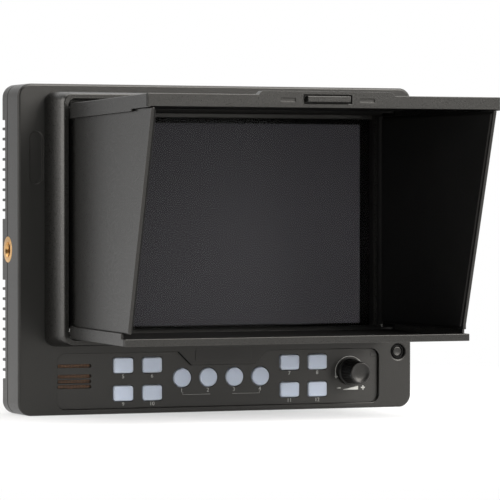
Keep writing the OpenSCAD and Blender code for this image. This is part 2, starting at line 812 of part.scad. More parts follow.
// Turning knob: tapered, ribbed skirt and a dished cap
module knob() {
    grooves = 24;
    in_frame() color([0.1, 0.1, 0.1]) translate([knob_x, knob_back, knob_z]) rotate([90, 0, 0]) difference() {
        rotate_extrude() polygon([[0, 0], [knob_d / 2, 0], [knob_d / 2, 1.2], [knob_d / 2 - 0.5, 1.6],
            [knob_cap_d / 2, knob_l - 0.6], [knob_cap_d / 2 - 0.6, knob_l], [knob_cap_d / 2 - 1.1, knob_l],
            [knob_cap_d / 2 - 1.5, knob_l - 0.5], [0, knob_l - 0.9]]);
        for (i = [0:grooves - 1])
            rotate(i * 360 / grooves) translate([knob_d / 2 - 0.15, 0, 2.6])
                rotate([0, -4.2, 0]) cylinder(r = 0.4, h = knob_l, $fn = 16);
        translate([0, 0, -1]) cylinder(r = shaft_r, h = shaft_in + 1);
    }
}

// Shaft of the rotary encoder, which turns with the knob
module encoder_shaft() {
    in_frame() color([0.6, 0.6, 0.58]) {
        rod_y(knob_x, knob_z, shaft_r, knob_back - shaft_in, knob_back + 1.2 + eps);
        rod_y(knob_x, knob_z, neck_r, knob_back + 1.2, panel_back + 2.2);
    }
}

// Sleeve that carries the shaft and moves in and out with it
module encoder_plunger() {
    in_frame() color([0.7, 0.65, 0.5]) difference() {
        rod_y(knob_x, knob_z, sleeve_r, panel_back - 1, key_board_y - knob_travel - 1.4);
        rod_y(knob_x, knob_z, neck_r + pin_fit, 0, key_board_y);
    }
}

module encoder_body() {
    in_frame() color([0.5, 0.5, 0.5]) difference() {
        union() {
            block(knob_x - encoder_w / 2, knob_x + encoder_w / 2, panel_back + 0.2, key_board_y,
                knob_z - encoder_w / 2, knob_z + encoder_w / 2);
            rod_y(knob_x, knob_z, 3.3, panel_back - 1.2, panel_back + 0.3);
        }
        rod_y(knob_x, knob_z, sleeve_r + pin_fit, 0, key_board_y - 1);
    }
}

// Hood frame: a collar whose walls bow in towards the rim, with a back flange and hooks
module hood_outline(inset_x, inset_z, y0, y1) {
    plate(-hood_x + inset_x, hood_x - inset_x, hood_z0 + inset_z, hood_z1 - inset_z, hood_r - inset_z / 2,
        y0, y1, $fn = 32);
}

module hood_frame() {
    back = -hood_gap;
    rim = -hood_d;
    open_z0 = hood_floor;
    open_z1 = hood_roof;
    in_frame() color([0.33, 0.33, 0.32]) {
        difference() {
            hull() {
                hood_outline(0, 0, -4, back);
                hood_outline(0.25 * hood_in_x, 0.25 * hood_in_z, rim + 9, rim + 9.1);
                hood_outline(0.6 * hood_in_x, 0.6 * hood_in_z, rim + 2.5, rim + 2.6);
                hood_outline(hood_in_x, hood_in_z, rim, rim + 0.1);
            }
            plate(-hood_in_w, hood_in_w, open_z0, open_z1, 3, rim - 1, back - flange_t);
            plate(-hood_in_w + flange_w, hood_in_w - flange_w, open_z0 + flange_w, open_z1 - flange_w, 3,
                rim - 1, 1);
            rod_x(top_hinge_y, top_hinge_z, pin_r, -hood_in_w - pin_in, hood_in_w + pin_in);
            rod_x(bottom_hinge_y, bottom_hinge_z, pin_r, -hood_in_w - pin_in, hood_in_w + pin_in);
            rod_z(-side_hinge_x, left_hinge_y, pin_r, open_z0 - pin_in, open_z1 + pin_in);
            rod_z(side_hinge_x, right_hinge_y, pin_r, open_z0 - pin_in, open_z1 + pin_in);
        }
        for (x = [-hook_x, hook_x])
            for (z = hook_z) {
                block(x - hook_w / 2, x + hook_w / 2, back - eps, bezel_t + fit + hook_t, z, z + hook_l);
                block(x - hook_w / 2, x + hook_w / 2, bezel_t + fit, bezel_t + fit + hook_t,
                    z - hook_drop, z + eps);
            }
    }
}

// Top flap in its own frame: hinge axis along x at the origin, plate forward along -y
top_l = top_reach + top_hinge_y;
module top_side_lip(s) {
    y_back = lip_back - top_hinge_y;
    back_in = lip_in_at(lip_back);
    front_in = lip_in_at(-top_reach);
    intersection() {
        linear_extrude(40, center = true)
            polygon([[s * back_in, y_back], [s * (back_in + lip_t), y_back],
                [s * (front_in + lip_t), -top_l], [s * front_in, -top_l]]);
        union() {
            translate([-hood_x, -top_l, barrel_r - lip_shallow])
                cube([2 * hood_x, lip_step + eps, lip_shallow]);
            translate([-hood_x, -top_l + lip_step, barrel_r - lip_deep])
                cube([2 * hood_x, top_l - lip_step + y_back - lip_r, lip_deep]);
            translate([-hood_x, y_back - lip_r - 0.2, barrel_r - lip_deep])
                cube([2 * hood_x, lip_r + 0.2, lip_deep - lip_r]);
            rod_x(y_back - lip_r, barrel_r - lip_r, lip_r, -hood_x, hood_x);
        }
    }
}

module top_panel(x_back, x_front, z0, z1, y0, y1) {
    translate([0, 0, z0]) linear_extrude(z1 - z0)
        polygon([[-x_front, y0], [x_front, y0], [x_back, y1], [-x_back, y1]]);
}

module top_place() {
    translate([0, top_hinge_y, top_hinge_z]) rotate([-top_lean, 0, 0]) children();
}

module top_flap() {
    y_back = lip_back - top_hinge_y;
    back_w = lip_in_at(lip_back);
    front_w = lip_in_at(-top_reach);
    in_frame() color([0.34, 0.34, 0.33]) top_place() difference() {
        union() {
            top_panel(back_w + 0.2, front_w + 0.2, barrel_r - flap_t, barrel_r, -top_l, y_back);
            translate([-side_hinge_x, y_back - eps, barrel_r - flap_t])
                cube([2 * side_hinge_x, -y_back + eps, flap_t]);
            for (s = [-1, 1]) top_side_lip(s);
            translate([-front_w - lip_t, -top_l, barrel_r - front_lip])
                cube([2 * (front_w + lip_t), front_lip_t, front_lip]);
            top_boss();
            rod_x(0, 0, barrel_r, -side_stop, side_stop);
        }
        rod_x(0, 0, pin_r + pin_fit, -hood_x, hood_x);
        translate([-latch_w / 2, -top_l - 1, barrel_r - front_lip + 0.5])
            cube([latch_w, 1 + latch_in + latch_travel + fit, front_lip - 0.4]);
        for (s = [-1, 1])
            translate([s * finger_x - finger_w / 2, -top_l - 1, barrel_r - 2.9]) cube([finger_w, 1.5, 1.5]);
    }
}

// Raised middle of the front edge, with sloping ends
module top_boss() {
    boss_l = 5;
    translate([0, -top_l + boss_l, 0]) rotate([90, 0, 0]) linear_extrude(boss_l)
        polygon([[-boss_w / 2 - boss_h, barrel_r - eps], [boss_w / 2 + boss_h, barrel_r - eps],
            [boss_w / 2, barrel_r + boss_h], [-boss_w / 2, barrel_r + boss_h]]);
}

module top_felt() {
    y_back = lip_back - top_hinge_y;
    in_frame() color([0.05, 0.05, 0.05]) top_place()
        top_panel(side_out_at(lip_back) - 1, side_out_at(-top_reach) - 1.2, barrel_r - flap_t - felt_t * 0.6,
            barrel_r - flap_t, -top_l + 3.4, y_back);
}

// Latch in the window of the top flap's front lip
module latch() {
    w = latch_w - 2.4;
    in_frame() color([0.38, 0.38, 0.38]) top_place() {
        translate([-w / 2, -top_l - latch_out, barrel_r - front_lip + 1.2])
            cube([w, latch_out + latch_in, front_lip - 1.7]);
        translate([-w / 2 - 2.2, -top_l + latch_in, barrel_r - front_lip + 0.8])
            cube([w + 4.4, latch_stop, front_lip - 2.8]);
    }
}

// Bottom flap in its own frame: plate forward along -y, its underside at -barrel_r
bottom_l = bottom_reach + bottom_hinge_y;
module bottom_place() {
    translate([0, bottom_hinge_y, bottom_hinge_z]) rotate([bottom_lean, 0, 0]) children();
}

module bottom_side_lip(s) {
    y_back = lip_back - bottom_hinge_y;
    back_in = lip_in_at(lip_back);
    front_in = lip_in_at(-bottom_reach);
    intersection() {
        linear_extrude(40, center = true)
            polygon([[s * back_in, y_back], [s * (back_in + lip_t), y_back],
                [s * (front_in + lip_t), -bottom_l], [s * front_in, -bottom_l]]);
        union() {
            translate([-hood_x, -bottom_l, -barrel_r]) cube([2 * hood_x, low_step + eps, low_front]);
            translate([-hood_x, -bottom_l + low_step, -barrel_r])
                cube([2 * hood_x, bottom_l - low_step + y_back - lip_r, low_lip]);
            translate([-hood_x, y_back - lip_r - 0.2, -barrel_r + lip_r])
                cube([2 * hood_x, lip_r + 0.2, low_lip - lip_r]);
            rod_x(y_back - lip_r, -barrel_r + lip_r, lip_r, -hood_x, hood_x);
        }
    }
}

module bottom_flap() {
    y_back = lip_back - bottom_hinge_y;
    back_w = lip_in_at(lip_back);
    front_w = lip_in_at(-bottom_reach);
    in_frame() color([0.34, 0.34, 0.33]) bottom_place() difference() {
        union() {
            top_panel(back_w + 0.2, front_w + 0.2, -barrel_r, -barrel_r + flap_t, -bottom_l, y_back);
            translate([-side_hinge_x, y_back - eps, -barrel_r])
                cube([2 * side_hinge_x, -y_back + eps, flap_t]);
            for (s = [-1, 1]) bottom_side_lip(s);
            translate([-front_w - lip_t, -bottom_l, -barrel_r])
                cube([2 * (front_w + lip_t), front_lip_t, low_front]);
            rod_x(0, 0, barrel_r, -side_stop, side_stop);
        }
        rod_x(0, 0, pin_r + pin_fit, -hood_x, hood_x);
    }
}

module bottom_felt() {
    y_back = lip_back - bottom_hinge_y;
    in_frame() color([0.05, 0.05, 0.05]) bottom_place()
        top_panel(side_out_at(lip_back) - 1, side_out_at(-bottom_reach) - 1.2, -barrel_r + flap_t,
            -barrel_r + flap_t + felt_t * 0.6, -bottom_l + 1.9, y_back);
}

// Side flap in its own frame: hinge axis along z at the origin, plate forward along -y,
// outer face towards -x; the front edge slants back towards the bottom flap
module side_profile(hinge_y, trim) {
    front_top = -(top_reach + hinge_y);
    front_low = -(bottom_reach + hinge_y);
    polygon([[-trim, side_bottom + trim], [front_low + trim, side_bottom + trim],
        [front_low + trim, side_bottom + 2], [front_top + trim, side_top - trim], [-trim, side_top - trim]]);
}

module side_sheet(x0, x1, hinge_y, trim) {
    translate([x0, 0, 0]) rotate([90, 0, 90]) linear_extrude(x1 - x0) side_profile(hinge_y, trim);
}

module side_flap_shape(hinge_y) {
    difference() {
        union() {
            side_sheet(-barrel_r, -barrel_r + flap_t, hinge_y, 0);
            rod_z(0, 0, barrel_r, side_bottom, side_top);
        }
        rod_z(0, 0, pin_r + pin_fit, side_bottom - 1, side_top + 1);
    }
}

module side_felt_shape(hinge_y) {
    intersection() {
        side_sheet(-barrel_r + flap_t, -barrel_r + flap_t + felt_t, hinge_y, 1.2);
        translate([-barrel_r, -top_reach, 0]) cube([2 * barrel_r, top_reach - barrel_r - 0.2, body_h]);
    }
}

module left_place() {
    translate([-side_hinge_x, left_hinge_y, 0]) rotate([0, 0, -side_lean]) children();
}

module right_place() {
    translate([side_hinge_x, right_hinge_y, 0]) rotate([0, 0, side_lean]) mirror([1, 0, 0]) children();
}

module left_flap() {
    in_frame() color([0.34, 0.34, 0.33]) left_place() side_flap_shape(left_hinge_y);
}

module right_flap() {
    in_frame() color([0.34, 0.34, 0.33]) right_place() side_flap_shape(right_hinge_y);
}

module left_felt() {
    in_frame() color([0.05, 0.05, 0.05]) left_place() side_felt_shape(left_hinge_y);
}

module right_felt() {
    in_frame() color([0.05, 0.05, 0.05]) right_place() side_felt_shape(right_hinge_y);
}

module top_pin() {
    in_frame() color([0.7, 0.7, 0.7])
        rod_x(top_hinge_y, top_hinge_z, pin_r, -hood_in_w - pin_in, hood_in_w + pin_in);
}

module bottom_pin() {
    in_frame() color([0.7, 0.7, 0.7])
        rod_x(bottom_hinge_y, bottom_hinge_z, pin_r, -hood_in_w - pin_in, hood_in_w + pin_in);
}

module side_pins() {
    in_frame() color([0.7, 0.7, 0.7]) {
        rod_z(-side_hinge_x, left_hinge_y, pin_r, hood_floor - pin_in, hood_roof + pin_in);
        rod_z(side_hinge_x, right_hinge_y, pin_r, hood_floor - pin_in, hood_roof + pin_in);
    }
}

// Close-wound springs on the free lower ends of the side pins
module side_springs() {
    in_frame() color([0.75, 0.75, 0.75])
        for (p = [[-side_hinge_x, left_hinge_y], [side_hinge_x, right_hinge_y]])
            difference() {
                rod_z(p[0], p[1], 1.7, hood_floor + 0.4, side_bottom - 0.4);
                rod_z(p[0], p[1], pin_r, hood_floor, side_bottom);
            }
}

// Battery plate: a base with two rails that the battery slides under
module battery_plate() {
    a = plate_w / 2;
    y0 = body_d;
    in_frame() color([0.12, 0.12, 0.12]) difference() {
        union() {
            plate(-a, a, plate_z - plate_h / 2, plate_z + plate_h / 2, 3, y0, y0 + plate_t);
            for (s = [-1, 1])
                translate([0, 0, plate_z - plate_h / 2 + 12]) linear_extrude(plate_h - 16) polygon([
                    [s * (a - 5), y0 + plate_t - eps], [s * (a - 2), y0 + plate_t - eps],
                    [s * (a - 2), y0 + plate_t + rail_h], [s * (a - 8), y0 + plate_t + rail_h],
                    [s * (a - 8), y0 + plate_t + rail_h - 1.6], [s * (a - 5), y0 + plate_t + rail_h - 1.6]]);
        }
        plate(-release_w / 2 - fit, release_w / 2 + fit, release_z - release_h / 2 - fit,
            release_z + release_h / 2 + fit, 1.3, y0 - 1, y0 + plate_t + 1);
        for (x = contact_x)
            block(x - 1.2, x + 1.2, y0 + plate_t - 1.6, y0 + plate_t + 1, plate_z - plate_h / 2 + 3,
                plate_z - plate_h / 2 + 13);
    }
}

// Blades of the battery contacts
module battery_contacts() {
    in_frame() color([0.85, 0.7, 0.35])
        for (x = contact_x)
            block(x - 0.5, x + 0.5, body_d + plate_t - 1.6, body_d + plate_t + 2.6, plate_z - plate_h / 2 + 4,
                plate_z - plate_h / 2 + 12);
}

// Sprung button that frees the battery
module battery_release() {
    in_frame() color([0.25, 0.25, 0.25])
        plate(-release_w / 2, release_w / 2, release_z - release_h / 2, release_z + release_h / 2, 1,
            body_d + 1.6, body_d + plate_t + 1.8);
}

// Picture socket: a folded metal shell round a flat tongue
module hdmi_socket(x) {
    in_frame() color([0.7, 0.7, 0.7]) {
        difference() {
            block(x - hdmi_w / 2, x + hdmi_w / 2, hdmi_y, body_d, socket_z - hdmi_h / 2,
                socket_z + hdmi_h / 2);
            block(x - hdmi_w / 2 + 0.7, x + hdmi_w / 2 - 0.7, hdmi_y + 1.2, body_d + 1,
                socket_z - hdmi_h / 2 + 0.8, socket_z + hdmi_h / 2 - 0.8);
        }
        block(x - 5.2, x + 5.2, hdmi_y + 1, body_d - 1.4, socket_z + 1, socket_z + 1.7);
    }
}

module hdmi_in() { hdmi_socket(hdmi_x[0]); }
module hdmi_out() { hdmi_socket(hdmi_x[1]); }

// Power socket with its centre pin
module dc_socket() {
    in_frame() color([0.08, 0.08, 0.08]) {
        difference() {
            rod_y(dc_x, socket_z, dc_d / 2, hdmi_y, body_d);
            rod_y(dc_x, socket_z, dc_bore_r, hdmi_y + 1.5, body_d + 1);
        }
        rod_y(dc_x, socket_z, 1, hdmi_y + 1, body_d - 1);
    }
}

module audio_socket() {
    in_frame() color([0.08, 0.08, 0.08]) difference() {
        rod_y(audio_x, socket_z, audio_d / 2, hdmi_y, body_d);
        rod_y(audio_x, socket_z, jack_r, hdmi_y + 1, body_d + 1);
    }
}

// Thumb slide of the power switch, at its off end
module power_slider() {
    x0 = slider_x - slider_w / 2 - slider_travel / 2;
    z0 = socket_z - slider_h / 2;
    z1 = socket_z + slider_h / 2;
    in_frame() color([0.1, 0.1, 0.1]) {
        block(x0, x0 + slider_w, hdmi_y + 3.3, body_d + 1, z0, z1);
        for (x = [x0 + 1, x0 + 3.4])
            block(x, x + 0.6, body_d + 1 - eps, body_d + 1.4, z0, z1);
    }
}

module power_switch() {
    in_frame() color([0.6, 0.6, 0.6])
        block(slider_x - 7, slider_x + 7, hdmi_y, hdmi_y + 3, socket_z - 3.2, socket_z + 3.2);
}

// Screws of the rear cover, with cross recesses
module rear_screws() {
    in_frame() color([0.15, 0.15, 0.15]) at_screws() difference() {
        union() {
            rod_y(0, 0, screw_r, screw_end_y, body_d - 1.3);
            rod_y(0, 0, screw_head_r, body_d - screw_head_d, body_d - 0.2);
        }
        block(-1.5, 1.5, body_d - 0.8, body_d, -0.3, 0.3);
        block(-0.3, 0.3, body_d - 0.8, body_d, -1.5, 1.5);
    }
}

front_bezel();
mid_frame();
rear_cover();
window_glass();
lcd_cell();
backlight_tray();
main_board();
board_posts();
key_board();
tact_switches();
key_panel();
blank_plaque();
speaker();
speaker_mesh();
status_lens();
left_bush();
right_bush();
bottom_bush();
key_1();
key_2();
key_3();
key_4();
key_5();
key_6();
key_7();
key_8();
round_key_1();
round_key_2();
round_key_3();
round_key_4();
flip_key();
flip_ring();
knob();
encoder_shaft();
encoder_plunger();
encoder_body();
hood_frame();
top_flap();
bottom_flap();
left_flap();
right_flap();
top_felt();
bottom_felt();
left_felt();
right_felt();
top_pin();
bottom_pin();
side_pins();
side_springs();
latch();
battery_plate();
battery_contacts();
battery_release();
hdmi_in();
hdmi_out();
dc_socket();
audio_socket();
power_slider();
power_switch();
rear_screws();
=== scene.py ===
import json
from math import cos, hypot, radians, sin

import bmesh
import bpy
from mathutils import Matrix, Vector
from mathutils.geometry import delaunay_2d_cdt

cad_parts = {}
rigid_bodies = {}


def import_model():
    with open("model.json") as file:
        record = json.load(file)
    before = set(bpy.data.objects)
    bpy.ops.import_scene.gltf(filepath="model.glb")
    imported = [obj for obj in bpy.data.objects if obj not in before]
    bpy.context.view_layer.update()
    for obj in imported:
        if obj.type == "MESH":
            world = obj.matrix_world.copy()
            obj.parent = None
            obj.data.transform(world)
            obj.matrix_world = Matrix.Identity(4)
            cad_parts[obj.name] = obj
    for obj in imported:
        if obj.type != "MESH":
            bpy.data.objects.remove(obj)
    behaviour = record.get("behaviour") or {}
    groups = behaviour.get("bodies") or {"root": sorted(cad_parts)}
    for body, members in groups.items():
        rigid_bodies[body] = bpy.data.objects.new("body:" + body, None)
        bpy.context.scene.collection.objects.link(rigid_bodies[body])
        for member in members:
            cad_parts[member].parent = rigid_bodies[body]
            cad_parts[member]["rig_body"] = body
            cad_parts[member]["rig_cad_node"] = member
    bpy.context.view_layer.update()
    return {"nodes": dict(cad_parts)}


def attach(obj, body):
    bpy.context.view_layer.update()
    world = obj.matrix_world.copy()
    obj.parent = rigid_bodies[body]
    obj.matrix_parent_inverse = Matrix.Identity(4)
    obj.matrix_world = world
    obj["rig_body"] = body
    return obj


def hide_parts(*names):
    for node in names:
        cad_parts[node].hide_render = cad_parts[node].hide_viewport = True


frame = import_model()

scene = bpy.context.scene


# Studio: a long lens 1.6 metres away and to the left, a white floor and wall, a large
# soft light high on the right, weaker ones in front, on the left and above, and a
# black card beside the camera that keeps the mouldings' edges dark.
scene.view_settings.view_transform = "Standard"
lens = bpy.data.cameras.new("camera")
lens.lens = 248.84
lens.sensor_width = 36
lens.clip_start = 0.05
lens.clip_end = 50
camera = bpy.data.objects.new("camera", lens)
camera.location = (-0.5990, -1.5030, 0.0994)
camera.rotation_euler = (radians(90 - 0.8745), 0, radians(-22.4466))
scene.collection.objects.link(camera)
scene.camera = camera


def wire(tree, *pairs):
    """Joins output sockets to input sockets."""
    for start, end in pairs:
        tree.links.new(start, end)


def ranged(tree, source, low, high, start=0.0, end=1.0):
    """A value from start to end brought to low to high."""
    node = tree.nodes.new("ShaderNodeMapRange")
    node.inputs["From Min"].default_value = start
    node.inputs["From Max"].default_value = end
    node.inputs["To Min"].default_value = low
    node.inputs["To Max"].default_value = high
    wire(tree, (source, node.inputs["Value"]))
    return node.outputs["Result"]


def seen_directly(tree):
    """1 where the eye, a mirror or a glass looks, and 0 for the light on the object."""
    path = tree.nodes.new("ShaderNodeLightPath")
    first = tree.nodes.new("ShaderNodeMath")
    first.operation = "MAXIMUM"
    second = tree.nodes.new("ShaderNodeMath")
    second.operation = "MAXIMUM"
    wire(
        tree,
        (path.outputs["Is Camera Ray"], first.inputs[0]),
        (path.outputs["Is Transmission Ray"], first.inputs[1]),
        (first.outputs[0], second.inputs[0]),
        (path.outputs["Is Glossy Ray"], second.inputs[1]),
    )
    return second.outputs[0]


world = bpy.data.worlds.new("studio")
scene.world = world
world.use_nodes = True
tree = world.node_tree
tree.nodes.clear()
room = tree.nodes.new("ShaderNodeBackground")
room.inputs["Color"].default_value = (1, 0.99, 0.97, 1)
room.inputs["Strength"].default_value = 0.25
white = tree.nodes.new("ShaderNodeBackground")
white.inputs["Color"].default_value = (1, 1, 1, 1)
white.inputs["Strength"].default_value = 1
compass = tree.nodes.new("ShaderNodeTexCoord")
split = tree.nodes.new("ShaderNodeSeparateXYZ")
path = tree.nodes.new("ShaderNodeLightPath")
mirrored = tree.nodes.new("ShaderNodeMix")
mirrored.inputs["A"].default_value = 1
wire(
    tree,
    (compass.outputs["Generated"], split.inputs[0]),
    (path.outputs["Is Glossy Ray"], mirrored.inputs["Factor"]),
    (ranged(tree, split.outputs["X"], 0.3, 1, -0.6, 0.15), mirrored.inputs["B"]),
    (mirrored.outputs["Result"], white.inputs["Strength"]),
)
both = tree.nodes.new("ShaderNodeMixShader")
sky = tree.nodes.new("ShaderNodeOutputWorld")
wire(
    tree,
    (seen_directly(tree), both.inputs[0]),
    (room.outputs[0], both.inputs[1]),
    (white.outputs[0], both.inputs[2]),
    (both.outputs[0], sky.inputs["Surface"]),
)

target = Vector((0, 0, 0.08))
for name, place, size, watts, colour in (
    ("lamp_key", (1.05, -1.5, 1.45), 1.9, 96, (1, 0.98, 0.96)),
    ("lamp_fill", (-1.0, -1.9, 0.5), 0.8, 40, (1, 0.99, 0.98)),
    ("lamp_left", (-1.6, 0.7, 0.6), 1.2, 15, (1, 0.98, 0.96)),
    ("lamp_top", (0.1, 0.3, 1.7), 1.8, 20, (1, 0.98, 0.96)),
):
    glow = bpy.data.lights.new(name, "AREA")
    glow.size = size
    glow.energy = watts
    glow.color = colour
    lamp = bpy.data.objects.new(name, glow)
    lamp.location = place
    lamp.rotation_euler = (target - lamp.location).to_track_quat("-Z", "Y").to_euler()
    lamp.visible_glossy = name != "lamp_fill"
    scene.collection.objects.link(lamp)

bpy.ops.object.select_all(action="DESELECT")
bpy.ops.mesh.primitive_plane_add(size=1, location=(-1.25, -1.75, 0.9))
card = bpy.context.object
card.name = "black_card"
card.scale = (2.6, 2.4, 1)
card.rotation_euler = (target - card.location).to_track_quat("Z", "Y").to_euler()
card.visible_diffuse = False
paper = bpy.data.materials.new("card_paper")
paper.use_nodes = True
shader = paper.node_tree.nodes["Principled BSDF"]
shader.inputs["Base Color"].default_value = (0.02, 0.02, 0.02, 1)
shader.inputs["Roughness"].default_value = 0.9
card.data.materials.append(paper)

bpy.ops.object.select_all(action="DESELECT")
bpy.ops.mesh.primitive_plane_add(size=30, location=(0, 0, 0))
floor = bpy.context.object
floor.name = "floor"
paper = bpy.data.materials.new("floor_paper")
paper.use_nodes = True
tree = paper.node_tree
tree.nodes.clear()
matt = tree.nodes.new("ShaderNodeBsdfDiffuse")
matt.inputs["Color"].default_value = (0.97, 0.97, 0.97, 1)
glow = tree.nodes.new("ShaderNodeEmission")
glow.inputs["Strength"].default_value = 1
place = tree.nodes.new("ShaderNodeTexCoord")
far = tree.nodes.new("ShaderNodeVectorMath")
far.operation = "LENGTH"
shine = tree.nodes.new("ShaderNodeMath")
shine.operation = "MULTIPLY"
both = tree.nodes.new("ShaderNodeMixShader")
out = tree.nodes.new("ShaderNodeOutputMaterial")
wire(
    tree,
    (place.outputs["Object"], far.inputs[0]),
    (ranged(tree, far.outputs["Value"], 0.45, 1, 0.0, 0.45), shine.inputs[0]),
    (seen_directly(tree), shine.inputs[1]),
    (shine.outputs[0], both.inputs[0]),
    (matt.outputs[0], both.inputs[1]),
    (glow.outputs[0], both.inputs[2]),
    (both.outputs[0], out.inputs["Surface"]),
)
floor.data.materials.append(paper)


# Housing: front bezel, middle frame and rear cover, moulded in charcoal plastic
# with a fine sparked grain, their edges broken and their joints left as dark lines.
MM = 0.001
SEAM = 16


def at(x, y, z):
    """A point in millimetres, y from the bezel's front face, as a place in the frame."""
    return Vector((x, y - SEAM, z)) * MM


def paint(red, green, blue):
    """A paint shop's 0 to 255 colour as light."""
    share = [v / 255 for v in (red, green, blue)]
    light = [v / 12.92 if v < 0.04 else ((v + 0.055) / 1.055) ** 2.4 for v in share]
    return (*light, 1)


def pick(*chosen):
    """Selects these objects alone, the first of them active."""
    if bpy.context.object and bpy.context.object.mode != "OBJECT":
        bpy.ops.object.mode_set(mode="OBJECT")
    bpy.ops.object.select_all(action="DESELECT")
    for piece in chosen:
        piece.select_set(True)
    bpy.context.view_layer.objects.active = chosen[0]


def edit(piece, kind="FACE"):
    """Opens a piece for editing with everything in it selected."""
    pick(piece)
    bpy.ops.object.mode_set(mode="EDIT")
    bpy.ops.mesh.select_mode(type=kind)
    bpy.ops.mesh.select_all(action="SELECT")


def choose(piece, kind, test):
    """Selects the faces, edges or verts of the open piece that pass a test."""
    bpy.ops.mesh.select_mode(type={"faces": "FACE", "edges": "EDGE", "verts": "VERT"}[kind])
    bpy.ops.mesh.select_all(action="DESELECT")
    mesh = bmesh.from_edit_mesh(piece.data)
    for part in getattr(mesh, kind):
        if test(part):
            part.select_set(True)
    mesh.select_flush_mode()
    bmesh.update_edit_mesh(piece.data)


def apply_modifiers(piece):
    """Turns a piece's modifiers into its mesh."""
    pick(piece)
    for modifier in list(piece.modifiers):
        bpy.ops.object.modifier_apply(modifier=modifier.name)


def refaced(piece):
    """Lays clean triangles in each flat face whose outline a bevel has folded over."""
    piece.data.calc_loop_triangles()
    laid = [0.0] * len(piece.data.polygons)
    for part in piece.data.loop_triangles:
        laid[part.polygon_index] += part.area
    edit(piece)
    mesh = bmesh.from_edit_mesh(piece.data)
    mesh.faces.ensure_lookup_table()
    folded = [f for f in mesh.faces if laid[f.index] > f.calc_area() * 1.0005 + MM**2 * 0.01]
    for face in folded:
        turn = face.normal.to_track_quat("Z", "Y").to_matrix()
        corners = list(face.verts)
        flat = [turn.inverted() @ v.co / MM for v in corners]
        spots, _, parts, origins, _, _ = delaunay_2d_cdt(
            [p.xy for p in flat], [], [list(range(len(flat)))], 1, 1e-6
        )
        ends = [
            corners[origin[0]] if origin else mesh.verts.new(turn @ Vector((*spot, flat[0].z)) * MM)
            for spot, origin in zip(spots, origins)
        ]
        bmesh.ops.delete(mesh, geom=[face], context="FACES_ONLY")
        for part in parts:
            if not mesh.faces.get([ends[i] for i in part]):
                mesh.faces.new([ends[i] for i in part])
    mesh.normal_update()
    bmesh.update_edit_mesh(piece.data)
    bpy.ops.object.mode_set(mode="OBJECT")


def broken_edges(piece, width, steps=2, angle=30):
    """Breaks a piece's sharp edges by a bevel of that width in millimetres."""
    pick(piece)
    bpy.ops.object.shade_smooth_by_angle(angle=radians(angle))
    bevel = piece.modifiers.new("edge", "BEVEL")
    bevel.width = width * MM
    bevel.segments = steps
    bevel.limit_method = "ANGLE"
    bevel.angle_limit = radians(angle)
    bevel.use_clamp_overlap = False
    bevel.miter_outer = "MITER_ARC"
    apply_modifiers(piece)
    refaced(piece)
    even = piece.modifiers.new("even", "WEIGHTED_NORMAL")
    even.weight = 100
    even.keep_sharp = True
    apply_modifiers(piece)


def moulding(node, name):
    """The moulded shape of a CAD node as one welded mesh of its own."""
    piece = frame["nodes"][node].copy()
    piece.data = piece.data.copy()
    piece.name = piece.data.name = name
    piece.parent = None
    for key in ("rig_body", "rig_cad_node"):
        del piece[key]
    piece.data.materials.clear()
    scene.collection.objects.link(piece)
    pick(piece)
    bpy.ops.object.transform_apply(location=True, rotation=True, scale=True)
    edit(piece, "VERT")
    bpy.ops.mesh.remove_doubles(threshold=2e-6)
    bpy.ops.mesh.dissolve_limited(angle_limit=radians(0.4))
    bpy.ops.object.mode_set(mode="OBJECT")
    return piece


def fit(piece, material, body, slot, *nodes):
    """Paints a finished piece and joins it to a body of the frame."""
    pick(piece)
    bpy.ops.object.transform_apply(location=True, rotation=True, scale=True)
    piece.data.materials.clear()
    piece.data.materials.append(material)
    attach(piece, body)
    if nodes:
        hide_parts(*nodes)
    return piece


def effect(name, numbers, results):
    """A new effect group with these number inputs and these results."""
    group = bpy.data.node_groups.new(name, "ShaderNodeTree")
    for label, value in numbers.items():
        socket = group.interface.new_socket(label, in_out="INPUT", socket_type="NodeSocketFloat")
        socket.default_value = value
    for label in results:
        group.interface.new_socket(label, in_out="OUTPUT", socket_type="NodeSocketFloat")
    return group, group.nodes.new("NodeGroupInput"), group.nodes.new("NodeGroupOutput")


def place_effect(tree, group, **numbers):
    """Sets an effect group into a material with these numbers."""
    node = tree.nodes.new("ShaderNodeGroup")
    node.node_tree = group
    for label, value in numbers.items():
        node.inputs[label].default_value = value
    return node


def mixed(tree, share, first, second):
    """One colour or socket turning into another by a share."""
    node = tree.nodes.new("ShaderNodeMix")
    node.data_type = "RGBA"
    wire(tree, (share, node.inputs["Factor"]))
    ends = [s for s in node.inputs if s.type == "RGBA"]
    for socket, value in zip(ends, (first, second)):
        if isinstance(value, tuple):
            socket.default_value = value
        else:
            wire(tree, (value, socket))
    return [s for s in node.outputs if s.type == "RGBA"][0]


def clouds(tree, fineness, detail=2.0):
    """Soft noise over a piece's own coordinates."""
    where = tree.nodes.new("ShaderNodeTexCoord")
    noise = tree.nodes.new("ShaderNodeTexNoise")
    noise.inputs["Scale"].default_value = fineness
    noise.inputs["Detail"].default_value = detail
    wire(tree, (where.outputs["Object"], noise.inputs["Vector"]))
    return noise.outputs["Fac"]


